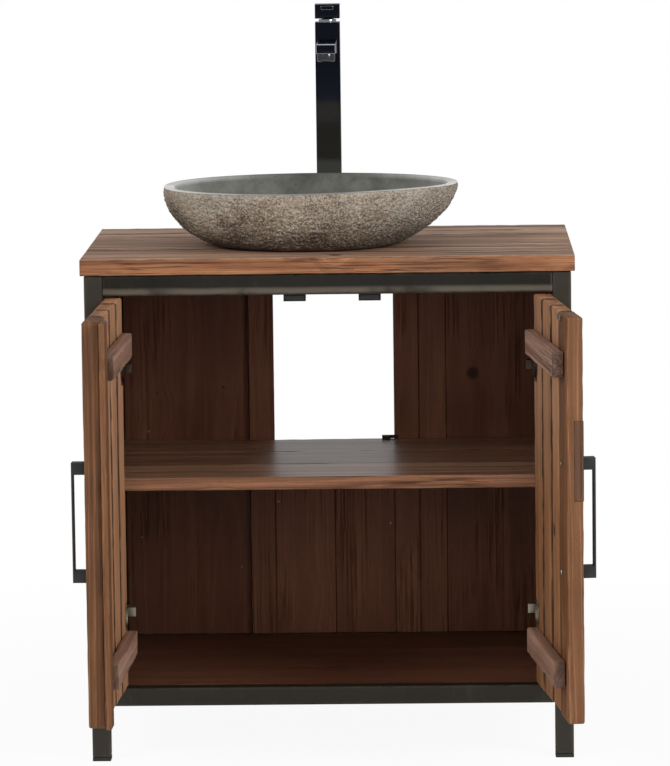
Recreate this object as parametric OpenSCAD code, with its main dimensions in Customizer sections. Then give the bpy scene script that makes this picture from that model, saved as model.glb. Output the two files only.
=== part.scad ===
// Vanity unit: a teak cabinet in a square-tube steel frame, with a river-stone basin and a tall tap.
// All sizes are in millimetres. Z is up and the doors face minus Y. The doors stand open at rest.
// Inside each module X is zero at the middle of the cabinet and Y is zero at the front of its legs.

/* [Frame] */
// Width over the legs
frame_w = 788; // [700:1:1000]
// Depth over the legs
frame_d = 530; // [510:1:640]
// Height of the worktop's upper face above the floor
top_z = 826; // [780:1:900]
// Width of the square tube
tube_w = 30; // [26:1:36]
// Wall of the steel tube
tube_wall = 2; // [1:0.5:3]
// Radius-like ease of the tube's long edges
tube_ease = 1.5; // [0.5:0.5:3]
// Height of the upper rails
top_rail_h = 34; // [30:1:40]
// Height of the lower rails
low_rail_h = 30; // [24:1:40]
// Height of the lower rails' underside above the floor
low_rail_z = 91; // [60:1:120]
// Thickness of a foot cap below its leg
foot_t = 6; // [3:1:12]
// Length of the spigot that a foot cap pushes into its leg
foot_plug_h = 12; // [6:1:20]
// Clearance round the spigot of a foot cap
foot_fit = 0.1; // [0.05:0.05:0.3]

/* [Worktop] */
// Width of the worktop
top_w = 800; // [790:1:1040]
// Thickness of the worktop
top_t = 27; // [20:1:40]
// Reach of the worktop past the front of the legs
top_front = 5; // [0:1:20]
// Reach of the worktop past the back of the legs
top_back = 5; // [0:1:20]
// Depth of the second plank, which the waste goes through
second_plank_d = 200; // [170:1:220]
// Depth of the narrow third plank
third_plank_d = 68; // [30:1:80]
// Depth of the rear plank, which the tap goes through
rear_plank_d = 95; // [80:1:120]
// Ease of the planks' and boards' long edges
wood_ease = 1.5; // [0.5:0.5:3]
// Joint between boards that lie side by side
board_joint = 0.3; // [0.2:0.1:1]
// Width of the cleats under the worktop
cleat_w = 30; // [20:1:40]
// Height of the cleats under the worktop
cleat_h = 20; // [15:1:28]

/* [Carcass] */
// Thickness of the side boards
side_t = 20; // [12:1:22]
// Set-back of the side boards from the outer face of the legs
side_inset = 4; // [0:1:8]
// Number of boards in each side
side_boards_n = 3; // [2:1:5]
// Set-back of the back boards from the back of the legs
back_inset = 20; // [10:1:28]
// Thickness of the back boards
back_t = 16; // [10:1:22]
// Width of the upright battens at the back
stile_w = 43; // [30:1:60]
// How far an upright batten stands proud of the back boards
stile_proud = 4; // [2:1:8]
// Distance from the cabinet's middle to the left upright batten
rear_gap_left = 105; // [80:1:130]
// Distance from the cabinet's middle to the right upright batten
rear_gap_right = 102; // [80:1:130]
// Width of the narrow back board beside the right upright batten
narrow_board_w = 47; // [40:1:80]
// Height of the shelf's upper face above the floor
shelf_z = 462; // [420:1:500]
// Thickness of the shelf
shelf_t = 22; // [18:1:28]
// Gap between the closed doors' cover strip and the shelf
shelf_gap = 4; // [2:1:20]
// Length of the steel clip at the shelf's back edge
clip_l = 14; // [10:1:20]
// Height of that clip
clip_h = 6; // [4:1:10]
// Thickness of that clip
clip_t = 2; // [1:0.5:3]
// Number of boards in the shelf
shelf_boards_n = 3; // [2:1:5]
// Thickness of the floor boards
floor_t = 20; // [14:1:24]
// Number of floor boards
floor_boards_n = 3; // [2:1:5]
// Height of the bearers under the floor boards
bearer_h = 10; // [5:1:14]
// Width and height of the cleats under the shelf
shelf_cleat = 18; // [12:1:25]

/* [Doors] */
// Thickness of a door
door_t = 28; // [24:1:34]
// Gap between a door and its leg
hinge_gap = 4; // [4:0.5:5]
// Gap above and below a door
door_gap = 3; // [2:0.5:5]
// Gap between the two closed doors
meeting_gap = 3; // [2:0.5:5]
// Number of upright boards in each door
door_boards_n = 4; // [3:1:6]
// Angle by which the left door stands open at rest
left_open = 92; // [0:1:100]
// Angle by which the right door stands open at rest
right_open = 96.5; // [0:0.5:100]
// Height of a batten across the back of a door
batten_h = 40; // [30:1:50]
// Thickness of a batten
batten_t = 18; // [12:1:22]
// Distance from a door's end to its batten
batten_inset = 55; // [40:1:65]
// Distance from the hinge edge to a batten
batten_hinge_gap = 24; // [10:1:50]
// Distance from the right door's meeting edge to its battens
batten_edge_gap = 20; // [18:1:40]
// Ease of the battens' edges
batten_ease = 3; // [1:0.5:6]
// Width of the cover strip on the left door
strip_w = 40; // [30:1:60]
// Thickness of the cover strip
strip_t = 10; // [6:1:16]
// Reach of the cover strip past the left door's edge
strip_reach = 15; // [8:1:16]
// Play between the cover strip and the right door
strip_play = 0.5; // [0.3:0.1:1]
// Gap between the left door's battens and the cover strip
strip_batten_gap = 8; // [2:1:30]
// Height of the piece let into the right door's edge
patch_h = 126; // [60:1:200]
// Height above the floor at which that piece begins
patch_z = 475; // [400:1:520]
// Depth of that piece into the door's width
patch_w = 12; // [6:1:20]
// Depth of that piece into the door's thickness
patch_t = 15; // [8:1:20]

/* [Hinges] */
// Gap between a batten and the flange of the hinge cup beside it
hinge_batten_gap = 1; // [0.5:0.5:20]
// Distance from the hinge edge to the pin's axis
pin_edge = 5.6; // [5:0.1:5.8]
// Distance from a door's outer face to the pin's axis
pin_depth = 7.2; // [6.8:0.1:7.4]
// Radius of the hinge pin
pin_r = 2; // [1.5:0.1:2.5]
// Running clearance between the pin and the arm's eye
pin_fit = 0.05; // [0.02:0.01:0.1]
// Outer radius of the eye and knuckles
knuckle_r = 4; // [3.5:0.1:4.5]
// Height of the arm's eye
eye_h = 12; // [8:1:16]
// Height of each knuckle on the door
knuckle_h = 10; // [6:1:14]
// End clearance between the eye and a knuckle
knuckle_gap = 0.2; // [0.1:0.1:0.5]
// Thickness of the leaf behind the knuckles
leaf_t = 2; // [1.5:0.5:3]
// Clearance between the eye and the leaf
leaf_gap = 0.3; // [0.2:0.1:1]
// Thickness of the arm's neck in the gap beside the leg
neck_t = 1.6; // [1:0.1:1.8]
// Gap between the neck and the leg
neck_gap = 0.4; // [0.3:0.1:0.5]
// Thickness of the arm's web between eye and neck
web_t = 3; // [2:0.5:4]
// Gap between the hinge plate and the leg
leg_gap = 0.5; // [0.3:0.1:2]
// Length of the hinge plate along the side board
plate_l = 50; // [40:1:70]
// Height of the hinge plate
plate_h = 28; // [20:1:36]
// Thickness of the hinge plate
plate_t = 3; // [2:0.5:5]
// Height of the arm's body
arm_h = 15; // [12:1:18]
// Reach of the arm's bend from the side board
arm_reach = 49; // [35:1:60]
// Gap between the closed door's inner face and the arm
arm_gap = 4; // [3:0.5:8]
// Depth of the arm's bend
bend_d = 14; // [10:1:18]
// Width of the arm's bend at its tip
bend_w = 20; // [12:1:24]
// Width of the arm where it leaves its plate
arm_root_w = 12; // [8:1:16]
// Depth of the step that joins the neck to the plate
step_d = 6; // [4:1:10]
// Radius of the hinge cup
cup_r = 17.5; // [15:0.5:18]
// Depth of the hinge cup
cup_h = 11.5; // [9:0.5:12]
// Distance from the hinge edge to the middle of the cup
cup_edge = 22.5; // [21:0.5:26]
// Wall of the hinge cup
cup_wall = 1; // [0.6:0.2:2]
// Thickness of the cup's flange
flange_t = 1.2; // [0.8:0.2:1.6]
// Height of the cup's flange
flange_h = 44; // [38:1:56]
// Width of the cup's flange ears
flange_w = 14; // [10:1:20]

/* [Handles] */
// Height of a handle
handle_h = 190; // [120:1:260]
// Height of a handle's lower end above the floor
handle_z = 347; // [300:1:420]
// Distance from the meeting edge to the middle of a handle
handle_edge = 54; // [45:1:80]
// Width of the handle's flat bar
handle_w = 20; // [12:1:24]
// Thickness of the handle's flat bar
handle_bar_t = 3; // [2:0.5:6]
// Reach of a handle from the door's face
handle_reach = 25; // [20:1:40]
// Height of a handle's foot
handle_foot_h = 19; // [10:1:24]
// Radius of a handle's screw
screw_r = 2; // [1.5:0.5:3]
// Radius of a handle screw's head
screw_head_r = 4.5; // [3:0.5:6]
// Height of a handle screw's head
screw_head_h = 2; // [1:0.5:3]
// Length of a handle's screw inside its foot
screw_bite = 12; // [6:1:15]
// Clearance round a handle's screw
screw_fit = 0.2; // [0.1:0.1:0.5]

/* [Catches] */
// Distance from the cabinet's middle to the left catch
catch_left = 54; // [50:1:90]
// Distance from the cabinet's middle to the right catch
catch_right = 68; // [50:1:90]
// Width of a catch's body
catch_w = 36; // [28:1:44]
// Width of a catch's flange
catch_flange_w = 57; // [50:1:60]
// Depth of a catch
catch_d = 22; // [15:1:26]
// Height of a catch's body under its flange
catch_h = 12; // [8:1:16]
// Thickness of a catch's flange
catch_flange_t = 2; // [1:0.5:2.5]
// Thickness of the magnet's steel face
magnet_t = 1.2; // [0.8:0.2:2]
// Thickness of the strike plate on a door
strike_t = 1.5; // [1:0.1:2]
// Gap between a closed door's strike plate and its magnet
strike_gap = 0.3; // [0.2:0.1:0.5]
// Depth of the rail that carries the catches
catch_rail_d = 30; // [26:1:40]

/* [Basin] */
// Width of the basin
basin_w = 484; // [430:1:520]
// Depth of the basin
basin_d = 380; // [340:1:400]
// Height of the basin's rim above the worktop, on average
basin_h = 100; // [90:1:120]
// Distance of the basin's middle to the right of the cabinet's middle
basin_x = -29; // [-45:1:45]
// Distance from the basin's middle to the middle of the tap behind it
basin_to_tap = 245; // [235:1:255]
// How far the stone draws in from rim to base at its left end
draw_left = 95; // [60:1:110]
// How far the stone draws in at its right end
draw_right = 120; // [60:1:130]
// How far the stone draws in at its front
draw_front = 50; // [40:1:80]
// How far the stone draws in at its back
draw_back = 90; // [40:1:100]
// Width of the polished rim
rim_w = 17; // [12:1:24]
// Thickness of stone under the bowl
bowl_floor = 24; // [18:1:35]
// Height of the stone's lumps
lump = 1.2; // [0:0.1:2]

/* [Waste] */
// Outer radius of the waste's threaded tail
tail_r = 20.95; // [18:0.05:22]
// Wall of the tail
tail_wall = 3.45; // [2:0.05:5]
// Length of the tail below the worktop
tail_l = 50; // [45:1:60]
// Length of the thread for the trap at the tail's lower end
tail_thread_l = 30; // [20:1:32]
// Height of the groove between that thread and the backnut's thread
groove_h = 3; // [1:0.5:4]
// Depth of that groove
groove_depth = 1; // [0.5:0.1:1.5]
// Clearance of the tail in the stone
tail_stone_gap = 1.5; // [0.5:0.5:3]
// Clearance of the tail in the worktop
tail_wood_gap = 2; // [0.5:0.5:3]
// Radius of the waste's flange
waste_flange_r = 31; // [28:1:34]
// Thickness of the waste's flange
waste_flange_t = 3; // [2.5:0.5:5]
// Travel of the plug
plug_travel = 8; // [5:1:12]
// Radius of the plug
plug_r = 28; // [24:1:30]
// Thickness of the plug at its edge
plug_t = 3; // [2:0.5:5]
// Radius of the plug's stem
stem_r = 3.5; // [3:0.1:5]
// Running clearance of the stem in its guide
stem_fit = 0.05; // [0.02:0.01:0.1]
// Height of a backnut
nut_h = 12; // [8:1:16]
// Width across the corners of the waste's backnut
waste_nut_w = 60; // [54:1:70]
// Clearance of a backnut on its thread
nut_fit = 0.05; // [0.02:0.01:0.1]

/* [Tap] */
// Width of the square tap column
tap_w = 42; // [38:1:44]
// Height of the column above the worktop
tap_h = 356; // [200:1:400]
// Distance of the tap to the right of the cabinet's middle
tap_x = -4; // [-40:1:40]
// Distance of the tap from the back of the legs
tap_inset = 56; // [54:1:62]
// Reach of the spout past the column
spout_l = 150; // [100:1:180]
// Ease of the column's and the lever's upright edges
tap_ease = 0.8; // [0.2:0.2:2]
// Width of the spout
spout_w = 32; // [28:1:36]
// Height of the spout at its tip
spout_tip_h = 16; // [12:1:24]
// Height of the spout at the column
spout_root_h = 24; // [16:1:32]
// Distance of the spout's upper face below the column's top
spout_drop = 29; // [15:1:60]
// Radius of the outlet ring
aerator_r = 15; // [12:0.5:15.5]
// Height of the outlet ring
aerator_h = 14; // [8:1:18]
// Radius of the outlet ring's spigot
aerator_plug_r = 11; // [8:0.5:12]
// Gap between the column and the lever
lever_gap = 6.5; // [6:0.5:9]
// Height of the lever block
lever_h = 24; // [22:1:32]
// Radius of the neck under the lever
neck_r = 15; // [13:0.5:15]
// Depth of the neck in the column
neck_in = 10; // [6:1:20]
// Running clearance of the neck in the column
neck_fit = 0.05; // [0.02:0.01:0.1]
// Radius of the lever's trunnions
trunnion_r = 3; // [2:0.5:4]
// Running clearance of the trunnions
trunnion_fit = 0.05; // [0.02:0.01:0.1]
// Radius of the threaded shank under the tap
shank_r = 16.5; // [14:0.5:18]
// Length of the shank below the worktop
shank_l = 34; // [24:1:60]
// Clearance of the shank in the worktop
shank_gap = 1; // [0.5:0.5:3]
// Width across the corners of the tap's backnut
tap_nut_w = 48; // [44:1:52]
// Radius of the two water inlets in the shank
inlet_r = 4.5; // [4:0.1:5]
// Depth of the water inlets
inlet_l = 18; // [10:1:22]
// Distance between the water inlets
inlet_pitch = 14; // [12:1:18]

/* [Hidden] */
$fn = 48;

// Colours of the wood, the steel and the fittings
steel_colour = "#3a3d38";
top_colour = "#7a5034";
door_colour = "#74492d";
inner_colour = "#3d241b";
stone_colour = "#7d7468";
bright_colour = "#c8c8c6";
black_colour = "#141416";

// A cut runs this far past the faces that it opens
over = 1;

// Heights of the frame
under_top = top_z - top_t;
top_rail_z = under_top - top_rail_h;
low_rail_top = low_rail_z + low_rail_h;
leg_x = frame_w / 2;
leg_inner_x = leg_x - tube_w;
rear_y = frame_d - tube_w;

// Planes of the carcass
side_x = leg_x - side_inset;
side_inner_x = side_x - side_t;
back_y = frame_d - back_inset - back_t;
stile_y = back_y - stile_proud;
shelf_y = door_t + strip_t + shelf_gap;
shelf_low = shelf_z - shelf_t;

// A closed door
door_low = low_rail_top + door_gap;
door_high = top_rail_z - door_gap;
door_hinge_x = -leg_inner_x + hinge_gap;
door_w = leg_inner_x - hinge_gap - meeting_gap / 2;
door_free_x = door_hinge_x + door_w;
pin_x = door_hinge_x + pin_edge;
pin_y = pin_depth;
hinge_inset = batten_inset + batten_h + hinge_batten_gap + flange_h / 2;
hinge_heights = [door_low + hinge_inset, door_high - hinge_inset];

// The recess in a door for the knuckles of a hinge
mortise_play = 2;
mortise_margin = 1.5;
knuckles_h = eye_h + 2 * (knuckle_gap + knuckle_h);
mortise_h = knuckles_h + 2 * mortise_play;
mortise_y = pin_y + knuckle_r + leaf_gap + leaf_t;
mortise_x = pin_x + knuckle_r + mortise_margin;

// The cup's flange is this much wider than its cup
flange_rim = 1;
cup_x = door_hinge_x + cup_edge;
flange_r = cup_r + flange_rim;

// Handle feet and their screws
handle_x = door_free_x - handle_edge;
handle_feet = [handle_z + handle_foot_h / 2, handle_z + handle_h - handle_foot_h / 2];

// The outline box's middle, which the origin lies under, with both doors open as at rest
door_swing_l = door_w - pin_edge + strip_reach - pin_depth;
plan_shift_y = (door_swing_l - frame_d - top_back) / 2;
handle_arm = door_w - pin_edge - handle_edge;
right_reach = -pin_x + handle_arm * sin(right_open - 90) + pin_depth + handle_reach;
plan_shift_x = -(right_reach - top_w / 2) / 2;

// The tap and the basin stand in line with the back of the legs
tap_y = frame_d - tap_inset;
basin_y = tap_y - basin_to_tap;

// The bowl and the waste
bowl_z = top_z + bowl_floor;
drain_margin = 3;
drain_flat_r = waste_flange_r + drain_margin;
guide_drop = 30;
guide_z = bowl_z - guide_drop;

// The tap
tap_top = top_z + tap_h;
lever_z = tap_top + lever_gap;
trunnion_rise = 6;
trunnion_z = lever_z + trunnion_rise;
spout_z = tap_top - spout_drop;
spout_tip_y = tap_y - tap_w / 2 - spout_l;
aerator_lip = 0.5;
aerator_y = spout_tip_y + aerator_r + aerator_lip;

// Cheeks of the hollow lever block, and the head and trunnions between them
cheek_t = 5.4;
cheek_x = tap_w / 2 - cheek_t;
head_r = 11;
trunnion_inset = 2;
trunnion_l = tap_w - 2 * trunnion_inset;

// Moves a piece from the cabinet's own zero to the origin on the floor
module placed() {
    translate([plan_shift_x, plan_shift_y, 0]) children();
}

// Turns a closed left door open about its pins
module swung(angle) {
    translate([pin_x, pin_y, 0])
        rotate([0, 0, -angle])
            translate([-pin_x, -pin_y, 0])
                children();
}

module on_left_door() {
    placed() swung(left_open) children();
}

module on_right_door() {
    placed() mirror([1, 0, 0]) swung(right_open) children();
}

// A rectangle with its four corners cut off by e
function eased(a0, a1, b0, b1, e) = [
    [a0 + e, b0], [a1 - e, b0], [a1, b0 + e], [a1, b1 - e],
    [a1 - e, b1], [a0 + e, b1], [a0, b1 - e], [a0, b0 + e]
];

// Bars along X, Y and Z with eased long edges
module bar_x(x, y, z, e) {
    translate([x[0], 0, 0])
        rotate([90, 0, 90])
            linear_extrude(height = x[1] - x[0])
                polygon(eased(y[0], y[1], z[0], z[1], e));
}

module bar_y(x, y, z, e) {
    translate([0, y[1], 0])
        rotate([90, 0, 0])
            linear_extrude(height = y[1] - y[0])
                polygon(eased(x[0], x[1], z[0], z[1], e));
}

module bar_z(x, y, z, e) {
    translate([0, 0, z[0]])
        linear_extrude(height = z[1] - z[0])
            polygon(eased(x[0], x[1], y[0], y[1], e));
}

module block(x, y, z) {
    translate([x[0], y[0], z[0]]) cube([x[1] - x[0], y[1] - y[0], z[1] - z[0]]);
}

function grown(span, by) = [span[0] - by, span[1] + by];

// Steel tubes along X, Y and Z, open at both ends
module tube_x(x, y, z) {
    difference() {
        bar_x(x, y, z, tube_ease);
        block(grown(x, over), grown(y, -tube_wall), grown(z, -tube_wall));
    }
}

module tube_y(x, y, z) {
    difference() {
        bar_y(x, y, z, tube_ease);
        block(grown(x, -tube_wall), grown(y, over), grown(z, -tube_wall));
    }
}

module tube_z(x, y, z) {
    difference() {
        bar_z(x, y, z, tube_ease);
        block(grown(x, -tube_wall), grown(y, -tube_wall), grown(z, over));
    }
}

// The span of width w along X that ends at distance x from the middle, on either side
function inner_edge(side, x, w) = side < 0 ? [-x, w - x] : [x - w, x];
function left_or_right(side) = inner_edge(side, leg_x, tube_w);
function front_or_rear(end) = end < 0 ? [0, tube_w] : [rear_y, frame_d];

module leg(side, end) {
    color(steel_colour)
        placed()
            tube_z(left_or_right(side), front_or_rear(end), [foot_t, under_top]);
}

module leg_front_left() {
    leg(-1, -1);
}

module leg_front_right() {
    leg(1, -1);
}

module leg_rear_left() {
    leg(-1, 1);
}

module leg_rear_right() {
    leg(1, 1);
}

// One cap with a spigot in each leg
module leg_feet() {
    color(black_colour)
        placed()
            for (side = [-1, 1])
                for (end = [-1, 1])
                    foot(left_or_right(side), front_or_rear(end));
}

module foot(x, y) {
    bar_z(x, y, [0, foot_t], tube_ease);
    spigot = -tube_wall - foot_fit;
    block(grown(x, spigot), grown(y, spigot), [0, foot_t + foot_plug_h]);
}

// Rails run between the legs and butt against them
module cross_rail(end, z) {
    color(steel_colour)
        placed()
            tube_x([-leg_inner_x, leg_inner_x], front_or_rear(end), z);
}

module side_rails(z) {
    color(steel_colour)
        placed()
            for (side = [-1, 1])
                tube_y(left_or_right(side), [tube_w, rear_y], z);
}

module top_rail_front() {
    cross_rail(-1, [top_rail_z, under_top]);
}

module top_rail_rear() {
    cross_rail(1, [top_rail_z, under_top]);
}

module top_rails_side() {
    side_rails([top_rail_z, under_top]);
}

module low_rail_front() {
    cross_rail(-1, [low_rail_z, low_rail_top]);
}

module low_rail_rear() {
    cross_rail(1, [low_rail_z, low_rail_top]);
}

module low_rails_side() {
    side_rails([low_rail_z, low_rail_top]);
}

// Edges of the worktop's planks, from the front to the back. The front plank takes the rest.
top_back_y = frame_d + top_back;
plank_edges = [
    -top_front,
    top_back_y - rear_plank_d - third_plank_d - second_plank_d,
    top_back_y - rear_plank_d - third_plank_d,
    top_back_y - rear_plank_d,
    top_back_y
];

module plank(index) {
    y = [plank_edges[index], plank_edges[index + 1]];
    bar_x([-top_w / 2, top_w / 2], y, [under_top, top_z], wood_ease);
}

module worktop_front_plank() {
    color(top_colour) placed() plank(0);
}

module worktop_second_plank() {
    color(top_colour)
        placed()
            difference() {
                plank(1);
                translate([basin_x, basin_y, under_top - over])
                    cylinder(r = tail_r + tail_wood_gap, h = top_t + 2 * over);
            }
}

module worktop_third_plank() {
    color(top_colour) placed() plank(2);
}

module worktop_rear_plank() {
    color(top_colour)
        placed()
            difference() {
                plank(3);
                translate([tap_x, tap_y, under_top - over])
                    cylinder(r = shank_r + shank_gap, h = top_t + 2 * over);
            }
}

// Cleats that tie the planks together, beside the upper side rails
module worktop_cleats() {
    color(inner_colour)
        placed()
            for (side = [-1, 1])
                bar_y(
                    inner_edge(side, leg_inner_x, cleat_w),
                    [tube_w + catch_rail_d, stile_y],
                    [under_top - cleat_h, under_top],
                    wood_ease
                );
}

module catch_rail() {
    color(inner_colour)
        placed()
            bar_x(
                [-leg_inner_x, leg_inner_x],
                [tube_w, tube_w + catch_rail_d],
                [top_rail_z, under_top],
                wood_ease
            );
}

// The span of one of count equal boards that fill a span with a joint between each two
function board_span(span, count, i) =
    let (w = (span[1] - span[0] - (count - 1) * board_joint) / count)
        [span[0] + i * (w + board_joint), span[0] + i * (w + board_joint) + w];

// Upright boards side by side along Y
module side_boards(side) {
    x = inner_edge(side, side_x, side_t);
    color(inner_colour)
        placed()
            for (i = [0 : side_boards_n - 1]) {
                y = board_span([tube_w, rear_y], side_boards_n, i);
                bar_z(x, y, [low_rail_top, top_rail_z], wood_ease);
            }
}

module side_boards_left() {
    side_boards(-1);
}

module side_boards_right() {
    side_boards(1);
}

module back_stile(x) {
    color(inner_colour)
        placed()
            bar_z(x, [stile_y, back_y + back_t], [low_rail_top, top_rail_z], wood_ease);
}

module back_stile_left() {
    back_stile([-rear_gap_left - stile_w, -rear_gap_left]);
}

module back_stile_right() {
    back_stile([rear_gap_right, rear_gap_right + stile_w]);
}

// Upright boards side by side along X, between two edges
module back_boards(edges, high) {
    color(inner_colour)
        placed()
            for (i = [0 : len(edges) - 2])
                bar_z(
                    [edges[i] + (i > 0 ? board_joint : 0), edges[i + 1]],
                    [back_y, back_y + back_t],
                    [low_rail_top, high],
                    wood_ease
                );
}

module back_boards_left() {
    back_boards([-leg_inner_x, -rear_gap_left - stile_w], top_rail_z);
}

module back_boards_right() {
    right_edge = rear_gap_right + stile_w;
    back_boards([right_edge, right_edge + narrow_board_w, leg_inner_x], top_rail_z);
}

// Below the shelf only, so that the pipes pass through the opening above it
module back_boards_centre() {
    back_boards([-rear_gap_left, (rear_gap_right - rear_gap_left) / 2, rear_gap_right], shelf_low);
}

// Boards along X laid one behind the other
module deck(x, y, z, count) {
    color(inner_colour)
        placed()
            for (i = [0 : count - 1])
                bar_x(x, board_span(y, count, i), z, wood_ease);
}

module shelf_boards() {
    deck([-side_inner_x, side_inner_x], [shelf_y, stile_y], [shelf_low, shelf_z], shelf_boards_n);
}

module shelf_cleats() {
    color(inner_colour)
        placed()
            for (side = [-1, 1])
                bar_y(
                    inner_edge(side, side_inner_x, shelf_cleat),
                    [shelf_y + shelf_cleat, stile_y],
                    [shelf_low - shelf_cleat, shelf_low],
                    wood_ease
                );
}

// A small steel angle that holds the shelf's back edge to the right upright batten
module shelf_clip() {
    x = rear_gap_right - clip_l / 2;
    color(black_colour)
        placed() {
            block([x - clip_l, x], [stile_y - clip_l, stile_y], [shelf_z, shelf_z + clip_h]);
            block([x - clip_l, x + clip_l], [stile_y - clip_t, stile_y], [shelf_z, shelf_z + clip_h]);
        }
}

module floor_boards() {
    z = [low_rail_top - floor_t, low_rail_top];
    deck([-leg_inner_x, leg_inner_x], [tube_w, stile_y], z, floor_boards_n);
}

module floor_bearers() {
    color(inner_colour)
        placed()
            for (side = [-1, 1])
                translate([side * leg_inner_x / 2, 0, 0])
                    bar_y(
                        [-cleat_w / 2, cleat_w / 2],
                        [tube_w, rear_y],
                        [low_rail_top - floor_t - bearer_h, low_rail_top - floor_t],
                        wood_ease
                    );
}

// Magnetic catches hang from the catch rail
catch_centres = [-catch_left, catch_right];
magnet_y = door_t + strike_t + strike_gap;
catch_y = magnet_y + magnet_t;
catch_top = top_rail_z - catch_flange_t;

module catch_bodies() {
    flange_set_back = 4;
    flange_ease = 0.5;
    body_ease = 1;
    color(black_colour)
        placed()
            for (x = catch_centres)
                translate([x, 0, 0]) {
                    bar_x(
                        [-catch_flange_w / 2, catch_flange_w / 2],
                        [catch_y + flange_set_back, catch_y + catch_d],
                        [catch_top, top_rail_z],
                        flange_ease
                    );
                    bar_x(
                        [-catch_w / 2, catch_w / 2],
                        [catch_y, catch_y + catch_d],
                        [catch_top - catch_h, catch_top],
                        body_ease
                    );
                }
}

module catch_magnets() {
    margin = 3;
    color(bright_colour)
        placed()
            for (x = catch_centres)
                block(
                    [x - catch_w / 2 + margin, x + catch_w / 2 - margin],
                    [magnet_y, catch_y],
                    [catch_top - catch_h + margin, catch_top - margin]
                );
}

// A cranked arm: plate on the side board, bend, thin neck beside the leg and eye on the pin
module hinge_arm(z) {
    neck_x = [-leg_inner_x + neck_gap, -leg_inner_x + neck_gap + neck_t];
    plate_x = [-side_inner_x, -side_inner_x + plate_t];
    plate_y = [tube_w + leg_gap, tube_w + leg_gap + plate_l];
    bend_y = [door_t + arm_gap, door_t + arm_gap + bend_d];
    arm_z = [z - arm_h / 2, z + arm_h / 2];
    eye_z = [z - eye_h / 2, z + eye_h / 2];
    difference() {
        union() {
            block(plate_x, plate_y, [z - plate_h / 2, z + plate_h / 2]);
            block([plate_x[0], neck_x[1]], [plate_y[0], plate_y[0] + step_d], eye_z);
            block(neck_x, [pin_y - web_t / 2, plate_y[0] + step_d], eye_z);
            block([neck_x[0], pin_x], [pin_y - web_t / 2, pin_y + web_t / 2], eye_z);
            translate([pin_x, pin_y, eye_z[0]]) cylinder(r = knuckle_r, h = eye_h);
            hull() {
                block([plate_x[0], plate_x[0] + arm_root_w], [bend_y[1], plate_y[1]], arm_z);
                block([plate_x[0] + arm_reach - bend_w, plate_x[0] + arm_reach], bend_y, arm_z);
            }
        }
        translate([pin_x, pin_y, eye_z[0] - over]) cylinder(r = pin_r + pin_fit, h = eye_h + 2 * over);
    }
}

module hinge_arms_left() {
    color(bright_colour)
        placed()
            for (z = hinge_heights)
                hinge_arm(z);
}

module hinge_arms_right() {
    color(bright_colour)
        placed()
            mirror([1, 0, 0])
                for (z = hinge_heights)
                    hinge_arm(z);
}

// The upright boards of a closed left door, with the seats of everything that is let into them
module door_boards(patched) {
    difference() {
        for (i = [0 : door_boards_n - 1])
            bar_z(
                board_span([door_hinge_x, door_free_x], door_boards_n, i),
                [0, door_t],
                [door_low, door_high],
                wood_ease
            );
        for (z = hinge_heights) {
            block(
                [door_hinge_x - over, mortise_x],
                [-over, mortise_y],
                [z - mortise_h / 2, z + mortise_h / 2]
            );
            translate([cup_x, door_t - cup_h, z])
                rotate([-90, 0, 0])
                    cylinder(r = cup_r, h = cup_h + over);
        }
        for (z = handle_feet)
            translate([handle_x, -over, z])
                rotate([-90, 0, 0])
                    cylinder(r = screw_r + screw_fit, h = door_t + 2 * over);
        if (patched)
            block(
                [door_free_x - patch_w, door_free_x + over],
                [-over, patch_t],
                [patch_z, patch_z + patch_h]
            );
    }
}

module door_battens(free_gap) {
    for (z = [door_low + batten_inset, door_high - batten_inset - batten_h])
        bar_x(
            [door_hinge_x + batten_hinge_gap, door_free_x - free_gap],
            [door_t, door_t + batten_t],
            [z, z + batten_h],
            batten_ease
        );
}

// A flat bar bent round into two feet
module door_handle() {
    x = [handle_x - handle_w / 2, handle_x + handle_w / 2];
    difference() {
        union() {
            block(x, [-handle_reach, handle_bar_t - handle_reach], [handle_z, handle_z + handle_h]);
            for (z = handle_feet)
                block(x, [-handle_reach, 0], [z - handle_foot_h / 2, z + handle_foot_h / 2]);
        }
        for (z = handle_feet)
            translate([handle_x, -screw_bite, z])
                rotate([-90, 0, 0])
                    cylinder(r = screw_r, h = screw_bite + over);
    }
}

module door_handle_screws() {
    for (z = handle_feet)
        translate([handle_x, -screw_bite, z])
            rotate([-90, 0, 0]) {
                cylinder(r = screw_r, h = screw_bite + door_t);
                translate([0, 0, screw_bite + door_t])
                    cylinder(r1 = screw_head_r, r2 = screw_head_r - screw_head_h / 2, h = screw_head_h);
            }
}

module door_strike(catch_distance) {
    margin = 2;
    block(
        [-catch_distance - catch_w / 2 + margin, -catch_distance + catch_w / 2 - margin],
        [door_t, door_t + strike_t],
        [catch_top - catch_h + margin / 2, door_high - margin / 2]
    );
}

// A pressed cup with two screw ears on its flange
module door_hinge_cups() {
    for (z = hinge_heights)
        translate([cup_x, door_t, z])
            rotate([-90, 0, 0])
                hinge_cup();
}

module hinge_cup() {
    difference() {
        union() {
            translate([0, 0, -cup_h]) cylinder(r = cup_r, h = cup_h);
            cylinder(r = flange_r, h = flange_t);
            translate([-flange_w / 2, -flange_h / 2, 0]) cube([flange_w, flange_h, flange_t]);
        }
        translate([0, 0, cup_wall - cup_h]) cylinder(r = cup_r - cup_wall, h = cup_h + flange_t + over);
    }
}

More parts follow.
